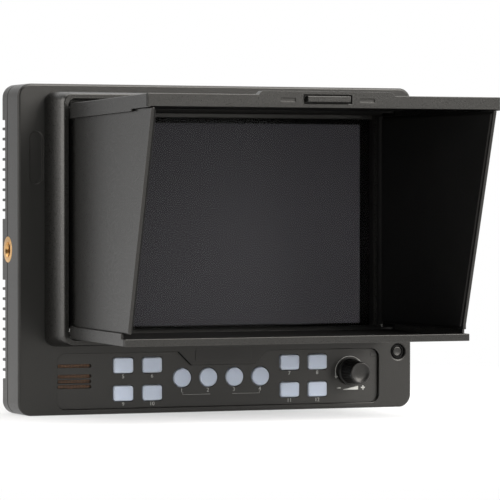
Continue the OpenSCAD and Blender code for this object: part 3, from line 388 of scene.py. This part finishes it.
# Sparked grain: a fine height and a broad change of tone
grain, start, end = effect("sparked grain", {"Fineness": 2600.0}, ("Height", "Tone"))
where = grain.nodes.new("ShaderNodeTexCoord")
fine = grain.nodes.new("ShaderNodeTexNoise")
fine.inputs["Detail"].default_value = 3
broad = grain.nodes.new("ShaderNodeTexNoise")
broad.inputs["Detail"].default_value = 4
slower = grain.nodes.new("ShaderNodeMath")
slower.operation = "MULTIPLY"
slower.inputs[1].default_value = 0.045
wire(
    grain,
    (where.outputs["Object"], fine.inputs["Vector"]),
    (where.outputs["Object"], broad.inputs["Vector"]),
    (start.outputs["Fineness"], fine.inputs["Scale"]),
    (start.outputs["Fineness"], slower.inputs[0]),
    (slower.outputs[0], broad.inputs["Scale"]),
    (fine.outputs["Fac"], end.inputs["Height"]),
    (broad.outputs["Fac"], end.inputs["Tone"]),
)

# Edge wear and painted highlight: edges painted paler where the surface turns within a short reach,
# partly as wear and partly as a painted edge highlight
edge_wear_and_highlight, start, end = effect("edge wear and painted highlight", {"Reach": 0.0006}, ("Mask",))
turned_in = edge_wear_and_highlight.nodes.new("ShaderNodeBevel")
turned_in.samples = 4
flat = edge_wear_and_highlight.nodes.new("ShaderNodeNewGeometry")
match = edge_wear_and_highlight.nodes.new("ShaderNodeVectorMath")
match.operation = "DOT_PRODUCT"
patchy = clouds(edge_wear_and_highlight, 420, 3)
uneven = edge_wear_and_highlight.nodes.new("ShaderNodeMath")
uneven.operation = "MULTIPLY"
wire(
    edge_wear_and_highlight,
    (start.outputs["Reach"], turned_in.inputs["Radius"]),
    (turned_in.outputs[0], match.inputs[0]),
    (flat.outputs["Normal"], match.inputs[1]),
    (ranged(edge_wear_and_highlight, match.outputs["Value"], 1, 0, 0.86, 0.995), uneven.inputs[0]),
    (ranged(edge_wear_and_highlight, patchy, 0.1, 0.45, 0.35, 0.65), uneven.inputs[1]),
    (uneven.outputs[0], end.inputs["Mask"]),
)


def new_material(name):
    """A new material with its node tree and its main shader."""
    material = bpy.data.materials.new(name)
    material.use_nodes = True
    tree = material.node_tree
    return material, tree, tree.nodes["Principled BSDF"]


def relief(tree, shader, height, depth):
    """Raises the surface by a height pattern, its depth in millimetres."""
    bump = tree.nodes.new("ShaderNodeBump")
    bump.inputs["Distance"].default_value = depth * MM
    bump.inputs["Strength"].default_value = 1
    wire(tree, (height, bump.inputs["Height"]), (bump.outputs[0], shader.inputs["Normal"]))


def moulded(name, colour, worn_and_highlight, rough, fineness=2600.0, depth=0.05, spread=0.16, gloss=0.5):
    """Moulded plastic: a grained colour, painted a little paler at its edges, partly as wear and
    partly as a painted edge highlight.
    """
    material, tree, shader = new_material(name)
    spark = place_effect(tree, grain, Fineness=fineness)
    edge = place_effect(tree, edge_wear_and_highlight)
    deep = tuple(v * (1 - spread) for v in colour[:3]) + (1,)
    pale = tuple(v * (1 + spread) for v in colour[:3]) + (1,)
    tone = ranged(tree, spark.outputs["Tone"], 0, 1, 0.3, 0.7)
    speck = ranged(tree, spark.outputs["Height"], 0, 1, 0.3, 0.7)
    half = tree.nodes.new("ShaderNodeMath")
    half.operation = "ADD"
    both = tree.nodes.new("ShaderNodeMath")
    both.operation = "MULTIPLY"
    both.inputs[1].default_value = 0.5
    wire(tree, (tone, half.inputs[0]), (speck, half.inputs[1]), (half.outputs[0], both.inputs[0]))
    body = mixed(tree, both.outputs[0], deep, pale)
    # Paler edges: partly wear, partly a painted edge highlight.
    rubbed_and_highlit = mixed(tree, edge.outputs["Mask"], body, worn_and_highlight)
    dull = ranged(tree, spark.outputs["Height"], rough - 0.05, rough + 0.05, 0.3, 0.7)
    wire(tree, (rubbed_and_highlit, shader.inputs["Base Color"]), (dull, shader.inputs["Roughness"]))
    shader.inputs["Specular IOR Level"].default_value = gloss
    shader.inputs["Specular Tint"].default_value = (1, 0.97, 0.92, 1)
    relief(tree, shader, spark.outputs["Height"], depth)
    return material


def metal(name, dark, light, fineness, rough, metallic=1.0, detail=2.0):
    """A metal whose colour and roughness drift between two ends, and its noise."""
    material, tree, shader = new_material(name)
    drift = clouds(tree, fineness, detail)
    wire(
        tree,
        (mixed(tree, drift, dark, light), shader.inputs["Base Color"]),
        (ranged(tree, drift, *rough), shader.inputs["Roughness"]),
    )
    shader.inputs["Metallic"].default_value = metallic
    return material, tree, shader, drift


case_plastic = moulded("case_plastic", paint(21, 21, 20), paint(46, 44, 42), 0.34, 1500.0, 0.045)
# Near-black paint for walls that lie in the hood's shade: painted shade.
painted_shade_black = moulded(
    "painted_shade_black", paint(8, 8, 8), paint(14, 14, 14), 0.6, 2000.0, 0.02, gloss=0.2
)
window_half, window_low, window_high = 78.6, 38, 137.5
for node, name, width in (
    ("front_bezel", "bezel", 0.22),
    ("mid_frame", "frame_band", 0.16),
    ("rear_cover", "back_cover", 0.22),
):
    shell = moulding(node, name)
    broken_edges(shell, width)
    fit(shell, case_plastic, "housing", "case_plastic", node)
    # Painted shade: the bezel's walls inside the hood's window are painted near black.
    if node == "front_bezel":
        shell.data.materials.append(painted_shade_black)
        for face in shell.data.polygons:
            side, height = abs(face.center.x) / MM, face.center.z / MM
            framed = side < window_half and window_low < height < window_high
            if framed and abs(face.normal.y) < 0.8:
                face.material_index = 1


# Screen: a clear, almost reflection-free window over a black printed border and a
# liquid crystal panel that shows black, painted a shade lighter towards the right and
# given a weak painted glow, both painted light.
screen_width, screen_height, screen_middle = 150.7, 94.2, 86.9

panel, tree, shader = new_material("panel_face")
where = tree.nodes.new("ShaderNodeTexCoord")
split = tree.nodes.new("ShaderNodeSeparateXYZ")
wire(tree, (where.outputs["Object"], split.inputs[0]))
# Painted light: the panel is painted a shade lighter towards the right and given a weak painted
# glow.
side = ranged(tree, split.outputs["X"], 0, 1, -0.075, 0.075)
wire(tree, (mixed(tree, side, paint(38, 37, 40), paint(40, 39, 41)), shader.inputs["Base Color"]))
shader.inputs["Emission Color"].default_value = paint(37, 36, 38)
shader.inputs["Emission Strength"].default_value = 1
wire(tree, (ranged(tree, clouds(tree, 300), 0.52, 0.53), shader.inputs["Roughness"]))
shader.inputs["Specular IOR Level"].default_value = 0.05
cell = moulding("lcd_cell", "screen_panel")
edit(cell)
choose(cell, "verts", lambda v: v.co.y < at(0, 5, 0).y)
bpy.ops.transform.translate(value=(0, 0.15 * MM, 0))
bpy.ops.object.mode_set(mode="OBJECT")
broken_edges(cell, 0.2)
fit(cell, panel, "housing", "lcd", "lcd_cell")

clear, tree, shader = new_material("window_glass")
wire(tree, (ranged(tree, clouds(tree, 18), 0.2, 0.24), shader.inputs["Roughness"]))
shader.inputs["Base Color"].default_value = (0.93, 0.94, 0.94, 1)
shader.inputs["Transmission Weight"].default_value = 1
shader.inputs["IOR"].default_value = 1.15
pane = moulding("window_glass", "window_pane")
broken_edges(pane, 0.15)
fit(pane, clear, "housing", "window", "window_glass")

black_print = moulded("black_print", paint(5, 5, 5), paint(5, 5, 5), 0.4, 4000.0, 0.002, gloss=0.1)
border_x, border_z, border_drop = 2.2, 0.3, 1.1
border_depth, border_inset = 4.28, 3
outer_width, outer_height = screen_width + 7.4, screen_height + 6.4
bpy.ops.object.select_all(action="DESELECT")
bpy.ops.mesh.primitive_plane_add(
    size=1, location=at(0, border_depth, screen_middle), rotation=(radians(90), 0, 0)
)
mask = bpy.context.object
mask.name = "screen_border"
mask.scale = (outer_width * MM, outer_height * MM, 1)
pick(mask)
bpy.ops.object.transform_apply(location=True, rotation=True, scale=True)
edit(mask)
bpy.ops.mesh.inset(thickness=border_inset * MM)
bpy.ops.transform.resize(
    value=(
        (screen_width - 2 * border_x) / (outer_width - 2 * border_inset),
        1,
        (screen_height - 2 * border_z) / (outer_height - 2 * border_inset),
    ),
    center_override=at(0, border_depth, screen_middle - border_drop),
)
bpy.ops.mesh.delete(type="FACE")
bpy.ops.mesh.select_all(action="SELECT")
bpy.ops.mesh.solidify(thickness=0.03 * MM)
bpy.ops.mesh.normals_make_consistent(inside=False)
bpy.ops.object.mode_set(mode="OBJECT")
fit(mask, black_print, "housing", "black_plastic")


# Control panel: a sheet let into the bezel's recess, with holes for the keys, the
# knob and the speaker. Its numbers and lines are screen printed in thin grey ink.
panel_plastic = moulded(
    "panel_plastic", paint(18, 18, 17), paint(44, 42, 40), 0.36, 1500.0, 0.04, gloss=0.6
)
sheet = moulding("key_panel", "control_panel")
broken_edges(sheet, 0.14)
fit(sheet, panel_plastic, "housing", "case_plastic", "key_panel")

key_columns = (-47.0, -32.8, 36.0, 50.2)
key_rows = (22.1, 9.3)
key_places = [(row, column) for row in key_rows for column in key_columns]
round_columns = (-17.975, -4.925, 8.125, 21.175)
round_row = 15.9
knob_x, knob_z = 66.9, 17.1
panel_face = 1.8
ink = moulded("grey_ink", paint(170, 170, 166), paint(176, 176, 172), 0.55, 5000.0, 0.002)


def printed(name, drawing, x, y, z):
    """Turns a flat drawing in the x-y plane into ink on a face that looks forward."""
    pick(drawing)
    bpy.ops.object.convert(target="MESH")
    drawing.name = drawing.data.name = name
    drawing.rotation_euler = (radians(90), 0, 0)
    drawing.location = at(x, y, z)
    return drawing


def number(text, size, x, y, z):
    """A printed number with its middle at a point in millimetres."""
    bpy.ops.object.select_all(action="DESELECT")
    bpy.ops.object.text_add()
    words = bpy.context.object
    words.data.body = text
    words.data.size = size * MM
    words.data.align_x = "CENTER"
    words.data.align_y = "CENTER"
    words.data.extrude = 0.02 * MM
    words.data.resolution_u = 2
    return printed("number_" + text, words, x, y, z)


def strip(points, width, x, y, z):
    """A printed line of that width through points in millimetres."""
    curve = bpy.data.curves.new("line", "CURVE")
    curve.dimensions = "3D"
    path = curve.splines.new("POLY")
    path.points.add(len(points) - 1)
    for spot, (px, py) in zip(path.points, points):
        spot.co = (px * MM, py * MM, 0, 1)
    line = bpy.data.objects.new("line", curve)
    scene.collection.objects.link(line)
    curve.bevel_depth = width / 2 * MM
    curve.bevel_resolution = 1
    line = printed("line", line, x, y, z)
    line.scale = (1, 1, 0.1)
    return line


marks = []
for i, (row, column) in enumerate(key_places):
    marks.append(number(str(i + 5), 2.6, column, panel_face - 0.01, row - 5.05))
for i, column in enumerate(round_columns):
    marks.append(number(str(i + 1), 2.6, column - 0.2, panel_face - 0.01, round_row - 5.9))
arc_radius = 7.3
arc = [(arc_radius * cos(radians(a)), arc_radius * sin(radians(a))) for a in range(38, 201, 6)]
for points, width, x, z in (
    ([(-19.2, 1.1), (-19.2, 0), (-5.5, 0)], 0.16, 1.6, 8.1),
    ([(19.2, 1.1), (19.2, 0), (5.5, 0)], 0.16, 1.6, 8.1),
    (arc, 0.3, knob_x, knob_z),
    ([(-0.6, 0.9), (0, 0), (0.8, 0.75)], 0.3, knob_x - 6.95, knob_z - 2.9),
    ([(-0.95, 0), (0.95, 0)], 0.5, knob_x - 5.6, knob_z - 7.6),
    ([(-1.0, 0), (1.0, 0)], 0.6, knob_x + 6.9, knob_z - 7.6),
    ([(0, -1.0), (0, 1.0)], 0.6, knob_x + 6.9, knob_z - 7.6),
):
    marks.append(strip(points, width, x, panel_face, z))
bpy.ops.object.select_all(action="DESELECT")
bpy.ops.mesh.primitive_plane_add(size=1)
wedge = bpy.context.object
edit(wedge, "VERT")
for (cx, cy), (tx, ty) in (
    ((-0.5, -0.5), (-4.2, -0.6)),
    ((-0.5, 0.5), (-4.2, -0.45)),
    ((0.5, -0.5), (3.6, -0.6)),
    ((0.5, 0.5), (3.6, 1.1)),
):
    choose(wedge, "verts", lambda v: abs(v.co.x - cx) < 0.01 and abs(v.co.y - cy) < 0.01)
    bpy.ops.transform.translate(value=(tx * MM - cx, ty * MM - cy, 0))
bpy.ops.mesh.select_all(action="SELECT")
bpy.ops.mesh.extrude_region_move(TRANSFORM_OT_translate={"value": (0, 0, 0.02 * MM)})
bpy.ops.mesh.select_all(action="SELECT")
bpy.ops.mesh.normals_make_consistent(inside=False)
bpy.ops.object.mode_set(mode="OBJECT")
marks.append(printed("wedge", wedge, knob_x + 0.8, panel_face - 0.005, knob_z - 7.9))
pick(*marks)
bpy.ops.object.transform_apply(location=True, rotation=True, scale=True)
bpy.ops.object.join()
print_work = bpy.context.object
print_work.name = "panel_print"
fit(print_work, ink, "housing", "plaque")


# Keys: eight rectangular and four round caps of milky silicone, crowned a little,
# each on a flange behind the panel. They look pale blue because light passes in, and
# their colour is painted lighter towards the middle and darker at the rim, a painted glow.
milky, tree, shader = new_material("milky_silicone")
# Painted glow: the caps' colour is painted lighter towards the middle and darker at the rim.
painted_cap_glow = tree.nodes.new("ShaderNodeAttribute")
painted_cap_glow.attribute_name = "painted_cap_glow"
cloud = clouds(tree, 700)
inward = ranged(tree, painted_cap_glow.outputs["Fac"], 0, 1)
glow = mixed(tree, inward, paint(178, 185, 197), paint(192, 201, 216))
wire(
    tree,
    (glow, shader.inputs["Base Color"]),
    (ranged(tree, cloud, 0.42, 0.56), shader.inputs["Roughness"]),
)
shader.inputs["Subsurface Weight"].default_value = 0.25
shader.inputs["Subsurface Radius"].default_value = (0.0012, 0.0012, 0.0014)
shader.inputs["Subsurface Scale"].default_value = 1
relief(tree, shader, cloud, 0.008)


def paint_cap_glow(piece, reach, rim, fade):
    """Marks how far in from the rim each point of a cap lies, as 0 to 1, for the caps' painted
    glow.
    """
    painted_glow_values = piece.data.attributes.new("painted_cap_glow", "FLOAT", "POINT")
    for spot, v in zip(painted_glow_values.data, piece.data.vertices):
        spot.value = min(1, max(0, (rim - reach(v.co)) / fade))


def bar(name, x0, x1, y0, y1, z0, z1):
    """A block between two corners in millimetres, at the origin and open for editing."""
    bpy.ops.object.select_all(action="DESELECT")
    middle = at((x0 + x1) / 2, (y0 + y1) / 2, (z0 + z1) / 2)
    bpy.ops.mesh.primitive_cube_add(size=1, location=middle)
    piece = bpy.context.object
    piece.name = piece.data.name = name
    piece.scale = Vector((x1 - x0, y1 - y0, z1 - z0)) * MM
    bpy.ops.object.transform_apply(location=True, rotation=True, scale=True)
    edit(piece)
    return piece


def front_rim(edge):
    """Whether an edge joins a key's front face to one of its walls."""
    turns = [f.normal.y for f in edge.link_faces]
    square = all(abs(y) > 0.9 or abs(y) < 0.1 for y in turns)
    return square and any(y < -0.9 for y in turns) and any(abs(y) < 0.1 for y in turns)


key_front, key_back = 0.9, 4.1
half_w, half_h = 4.7, 3.425
flange_w, flange_h = half_w + 1, half_h + 0.9
for i, (row, column) in enumerate(key_places):
    name = f"key_{i + 1}"
    sides = (column - half_w, column + half_w)
    ends = (row - half_h, row + half_h)
    cap = bar("cap_" + name, *sides, key_front, key_back, *ends)
    choose(cap, "edges", lambda e: abs((e.verts[0].co - e.verts[1].co).y) > 1 * MM)
    bpy.ops.mesh.bevel(offset=1.15 * MM, segments=5, affect="EDGES")
    choose(cap, "edges", front_rim)
    bpy.ops.mesh.bevel(offset=0.3 * MM, segments=3, affect="EDGES")
    choose(cap, "faces", lambda f: f.normal.y < -0.9 and f.calc_area() > 20e-6)
    for share, lift in ((0.88, 0.07), (0.72, 0.04), (0.5, 0.02)):
        bpy.ops.mesh.extrude_region_move(TRANSFORM_OT_translate={"value": (0, -lift * MM, 0)})
        bpy.ops.transform.resize(
            value=(share, 1, share), center_override=at(column, key_front, row)
        )
    choose(cap, "faces", lambda f: f.normal.y > 0.9)
    bpy.ops.mesh.extrude_region_move(TRANSFORM_OT_translate={"value": (0, 0.01 * MM, 0)})
    bpy.ops.transform.resize(
        value=(flange_w / half_w, 1, flange_h / half_h),
        center_override=at(column, key_back, row),
    )
    bpy.ops.mesh.extrude_region_move(TRANSFORM_OT_translate={"value": (0, 0.75 * MM, 0)})
    bpy.ops.mesh.select_all(action="SELECT")
    bpy.ops.mesh.normals_make_consistent(inside=False)
    bpy.ops.object.mode_set(mode="OBJECT")
    bpy.ops.object.shade_smooth_by_angle(angle=radians(40))
    x, z = column * MM, row * MM
    reach_x, reach_z = half_w * MM, half_h * MM
    paint_cap_glow(cap, lambda p: max(abs(p.x - x) / reach_x, abs(p.z - z) / reach_z), 1.0, 0.2)
    fit(cap, milky, name, "key_cap", name)


def turned(name, profile, steps):
    """A turned piece: one ring carried along a profile of radius and height, in millimetres."""
    bpy.ops.object.select_all(action="DESELECT")
    radius, height = profile[0]
    bpy.ops.mesh.primitive_circle_add(vertices=steps, radius=radius * MM, location=(0, 0, 0))
    piece = bpy.context.object
    piece.name = piece.data.name = name
    edit(piece, "EDGE")
    bpy.ops.transform.translate(value=(0, 0, height * MM))
    for (r0, z0), (r1, z1) in zip(profile, profile[1:]):
        bpy.ops.mesh.extrude_region_move(TRANSFORM_OT_translate={"value": (0, 0, (z1 - z0) * MM)})
        bpy.ops.transform.resize(value=(r1 / r0, r1 / r0, 1), center_override=(0, 0, z1 * MM))
    return piece


def close_turned(piece, smooth=35):
    """Fills the open rings of a turned piece and turns its faces outwards."""
    bpy.ops.mesh.select_mode(type="EDGE")
    bpy.ops.mesh.select_all(action="DESELECT")
    bpy.ops.mesh.select_non_manifold()
    bpy.ops.mesh.fill_holes(sides=0)
    bpy.ops.mesh.select_all(action="SELECT")
    bpy.ops.mesh.normals_make_consistent(inside=False)
    bpy.ops.object.mode_set(mode="OBJECT")
    bpy.ops.object.shade_smooth_by_angle(angle=radians(smooth))


def stand(piece, x, y, z, turn=(90, 0, 0)):
    """Puts a turned piece's base at a point, its axis turned from up by these degrees."""
    pick(piece)
    piece.rotation_euler = [radians(a) for a in turn]
    piece.location = at(x, y, z)
    bpy.ops.object.transform_apply(location=True, rotation=True, scale=True)
    return piece


round_r = 4.3
round_profile = [
    (round_r + 0.9, -4.85),
    (round_r + 0.9, -4.1),
    (round_r, -4.1),
    (round_r, -1.3),
    (round_r - 0.07, -1.12),
    (round_r - 0.25, -0.98),
    (round_r - 0.45, -0.92),
    (round_r - 1.2, -0.83),
    (round_r - 2.4, -0.76),
    (0.5, -0.74),
]
for i, column in enumerate(round_columns):
    name = f"round_key_{i + 1}"
    cap = turned("cap_" + name, round_profile, 48)
    close_turned(cap)
    stand(cap, column, 0, round_row)
    x, z = column * MM, round_row * MM
    paint_cap_glow(cap, lambda p: hypot(p.x - x, p.z - z) / (round_r * MM), 1.02, 0.16)
    fit(cap, milky, name, "key_cap", name)


# Knob: a tapered black cap with fine ribs round its skirt and a dished top,
# pushed onto the flat of the encoder's steel shaft. It turns and it presses in.
knob_black = moulded("knob_plastic", paint(14, 14, 14), paint(44, 43, 42), 0.34, 3200.0, 0.01, 0.1)
knob_base = 0.7
rib_depth = 0.945
skirt = [(2.0, 0.0), (6.25, 0.0), (6.25, 1.15), (6.05, 1.45), (5.8, 1.6), (5.72, 2.6)]
ribs = [(5.66, 3.2), (5.5, 5.6), (5.36, 8.0), (5.26, 10.3)]
rim = [(5.2, 10.9), (5.1, 11.35), (4.85, 11.7), (4.5, 11.8), (4.25, 11.75), (3.95, 11.45)]
dish = [(2.5, 11.15), (1.2, 11.02), (0.3, 11.0)]
knob = turned("knob_cap", skirt + ribs + rim + dish, 144)
heights = [h * MM for _, h in ribs]
choose(
    knob,
    "verts",
    lambda v: any(abs(v.co.z - h) < 0.01 * MM for h in heights)
    and v.co.xy.length > 4 * MM
    and round(v.co.xy.angle_signed(Vector((1, 0))) / radians(2.5)) % 6 in (0, 1, 5),
)
bpy.ops.transform.resize(value=(rib_depth, rib_depth, 1), center_override=(0, 0, 0))
close_turned(knob, 50)
stand(knob, knob_x, knob_base, knob_z)
fit(knob, knob_black, "knob", "black_plastic", "knob")


# Flip key: a black button in a turned steel ring, sunk in a well at the bezel's edge.
# The ring is pressed into the bezel, and the button slides in it.
# Steel painted near black; on the hinge pins this is painted shade, as they sit in the dark gaps of
# the hinges.
steel_painted_dark, tree, shader, _ = metal(
    "painted_dark_steel", paint(13, 13, 13), paint(24, 23, 22), 1100, (0.5, 0.65), metallic=0.3
)
shader.inputs["Specular IOR Level"].default_value = 0.25
flip_x, flip_z = 91.3, 26.3
ring_foot = [(2.5, -3.8), (3.65, -3.8), (3.65, -1.9), (2.95, -1.9)]
ring_rim = [(2.95, -1.25), (2.85, -1.05), (2.7, -1.0), (2.6, -1.05), (2.5, -1.3)]
ring = turned("flip_key_ring", ring_foot + ring_rim, 64)
bpy.ops.mesh.select_mode(type="EDGE")
bpy.ops.mesh.select_all(action="DESELECT")
bpy.ops.mesh.select_non_manifold()
bpy.ops.mesh.bridge_edge_loops()
close_turned(ring)
stand(ring, flip_x, 0, flip_z)
fit(ring, steel_painted_dark, "housing", "steel", "flip_ring")
stem = [(1.2, -5.4), (1.2, -4.9), (3.2, -4.9), (3.2, -4.2), (2.2, -4.2)]
face = [(2.2, -1.3), (2.1, -1.05), (1.85, -0.92), (1.5, -0.98), (0.9, -1.12), (0.2, -1.15)]
button = turned("flip_key_button", stem + face, 48)
close_turned(button)
stand(button, flip_x, 0, flip_z)
fit(button, knob_black, "flip_key", "black_plastic", "flip_key")


# Speaker: a coppery wire mesh behind the panel's slots. The wires are woven flat and
# held between the panel and the speaker's frame.
copper = metal(
    "copper_wire", paint(206, 160, 128), paint(250, 216, 186), 900, (0.3, 0.5), metallic=0.85
)[0]
mesh_x0, mesh_x1, mesh_z0, mesh_z1 = -79.8, -61.6, 10.6, 24.4
mesh_depth = 4.02
bpy.ops.object.select_all(action="DESELECT")
bpy.ops.mesh.primitive_grid_add(
    x_subdivisions=26,
    y_subdivisions=20,
    size=1,
    location=at((mesh_x0 + mesh_x1) / 2, mesh_depth, (mesh_z0 + mesh_z1) / 2),
    rotation=(radians(90), 0, 0),
)
gauze = bpy.context.object
gauze.name = "speaker_gauze"
gauze.scale = ((mesh_x1 - mesh_x0) * MM, (mesh_z1 - mesh_z0) * MM, 1)
pick(gauze)
bpy.ops.object.transform_apply(location=True, rotation=True, scale=True)
strands = gauze.modifiers.new("strands", "WIREFRAME")
strands.thickness = 0.26 * MM
strands.use_even_offset = False
apply_modifiers(gauze)
bpy.ops.object.shade_smooth_by_angle(angle=radians(40))
fit(gauze, copper, "housing", "copper_mesh", "speaker_mesh")


# Brass bushes: turned inserts with a flange, a lead-in and a quarter-inch thread,
# pressed into both sides and the underside across the joint of the shells.
brass, tree, shader, cloud = metal(
    "turned_brass", paint(196, 148, 92), paint(232, 190, 128), 500, (0.22, 0.42), detail=5
)
relief(tree, shader, cloud, 0.01)
thread_turns = 6
thread_pitch = 1.27
flange = [(3.6, 0.0), (5.75, 0.0), (5.92, 0.06), (6.0, 0.2), (6.0, 1.2), (4.5, 1.2)]
barrel = [(4.5, 7.8), (4.3, 8.0), (3.2, 8.0)]
thread = [
    (radius, 0.5 + (i + share) * thread_pitch)
    for i in range(thread_turns - 1, -1, -1)
    for radius, share in ((3.0, 0.75), (3.18, 0.25))
]
for node, name, place, turn in (
    ("left_bush", "bush_left", (-98, SEAM, 75.5), (0, 90, 0)),
    ("right_bush", "bush_right", (98, SEAM, 75.5), (0, -90, 0)),
    ("bottom_bush", "bush_under", (0, SEAM, 0), (0, 0, 0)),
):
    bush = turned(name, flange + barrel + thread + flange[:1], 48)
    bpy.ops.mesh.select_all(action="SELECT")
    bpy.ops.mesh.remove_doubles(threshold=2e-6)
    bpy.ops.mesh.select_all(action="SELECT")
    bpy.ops.mesh.normals_make_consistent(inside=False)
    bpy.ops.object.mode_set(mode="OBJECT")
    bpy.ops.object.shade_smooth_by_angle(angle=radians(30))
    stand(bush, *place, turn)
    fit(bush, brass, "housing", "brass", node)


# Sun hood: a moulded collar that hooks on the bezel and four thin flaps on steel pins,
# in the housing's grained plastic. Inside, the faces of collar, flaps and hinges are
# painted flat black as painted shade, and each flap has a black liner. The top flap's
# front lip reaches down over the side flaps.
hood_plastic = moulded(
    "hood_plastic", paint(14, 14, 13), paint(44, 42, 39), 0.3, 1900.0, 0.02, gloss=0.54
)
# Black felt for the flaps' liners, also laid on the hood's inner and hinge faces as painted shade.
felt_and_painted_shade = moulded("black_felt_and_painted_shade", paint(9, 9, 9), paint(30, 27, 25), 0.7, 1800.0, 0.04, 0.3, 0.25)
lip_edges = ((-130, -142, 138.5, -1.25), (-119.4, -130, 138.0, -1.2))
lip_band = 0.75
inner_half, inner_low, inner_high = 82, 34.5, 142.5
hinge_depth = -42
for node, name, body, width, inward in (
    ("hood_frame", "hood_collar", "hood", 0.3, None),
    ("top_flap", "flap_top", "top_flap", 0.22, (0, 0, -1)),
    ("bottom_flap", "flap_bottom", "bottom_flap", 0.22, (0, 0, 1)),
    ("left_flap", "flap_left", "left_flap", 0.3, (1, 0, 0)),
    ("right_flap", "flap_right", "right_flap", 0.3, (-1, 0, 0)),
    ("latch", "latch_block", "latch", 0.25, (0, 0, -1)),
):
    shell = moulding(node, name)
    if node == "top_flap":
        edit(shell)
        for back, front, low, drop in lip_edges:
            choose(
                shell,
                "verts",
                lambda v: front < v.co.y / MM < back and low < v.co.z / MM < low + lip_band,
            )
            bpy.ops.transform.translate(value=(0, 0, drop * MM))
        bpy.ops.object.mode_set(mode="OBJECT")
    broken_edges(shell, width)
    fit(shell, hood_plastic, body, "hood_plastic", node)
    # Painted shade: inward faces of collar, flaps and latch, and the flaps' hinge faces, are
    # painted black.
    shell.data.materials.append(felt_and_painted_shade)
    for face in shell.data.polygons:
        x, y, z = face.center / MM
        inner = abs(x) < inner_half and inner_low < z < inner_high and face.normal.y < 0.5
        toward = Vector(inward or (-x, 0, screen_middle - z)).normalized()
        hinge = node.endswith("flap") and y > hinge_depth
        if inner and face.normal.dot(toward) > (0.8 if inward and not hinge else 0.1):
            face.material_index = 1

for node, name, body, flat, area in (
    ("top_felt", "liner_top", "top_flap", (0.1602, 0.1008), 0.01599),
    ("bottom_felt", "liner_bottom", "bottom_flap", (0.1592, 0.0728), 0.01151),
    ("left_felt", "liner_left", "left_flap", (0.0946, 0.1137), 0.00936),
    ("right_felt", "liner_right", "right_flap", (0.0946, 0.1106), 0.00906),
):
    cloth = moulding(node, name)
    broken_edges(cloth, 0.2)
    fit(cloth, felt_and_painted_shade, body, "felt", node)


# Inside and back: plain pieces keep the CAD's own shape and get their finish; the hinge pins are
# painted near black as painted shade.
black_plastic = moulded("black_plastic", paint(28, 28, 28), paint(64, 63, 61), 0.42, 2600.0, 0.03)
board_green = moulded("board_lacquer", paint(22, 84, 50), paint(40, 110, 70), 0.35, 900.0, 0.02)
bright = metal("turned_steel", paint(140, 139, 137), paint(176, 175, 172), 1400, (0.25, 0.42))[0]
black_nodes = (
    "speaker",
    "tact_switches",
    "dc_socket",
    "audio_socket",
    "battery_plate",
    "battery_release",
    "power_slider",
    "rear_screws",
    "status_lens",
    "blank_plaque",
)
bright_nodes = (
    "side_springs",
    "backlight_tray",
    "hdmi_in",
    "hdmi_out",
    "power_switch",
    "encoder_body",
)
for finish, nodes in (
    (black_plastic, black_nodes),
    (board_green, ("main_board", "key_board")),
    (bright, bright_nodes),
    # Hinge pins painted near black: painted shade.
    (steel_painted_dark, ("top_pin", "bottom_pin", "side_pins", "encoder_shaft")),
    (brass, ("board_posts", "battery_contacts", "encoder_plunger")),
):
    for node in nodes:
        part = frame["nodes"][node]
        part.data.materials.clear()
        part.data.materials.append(finish)
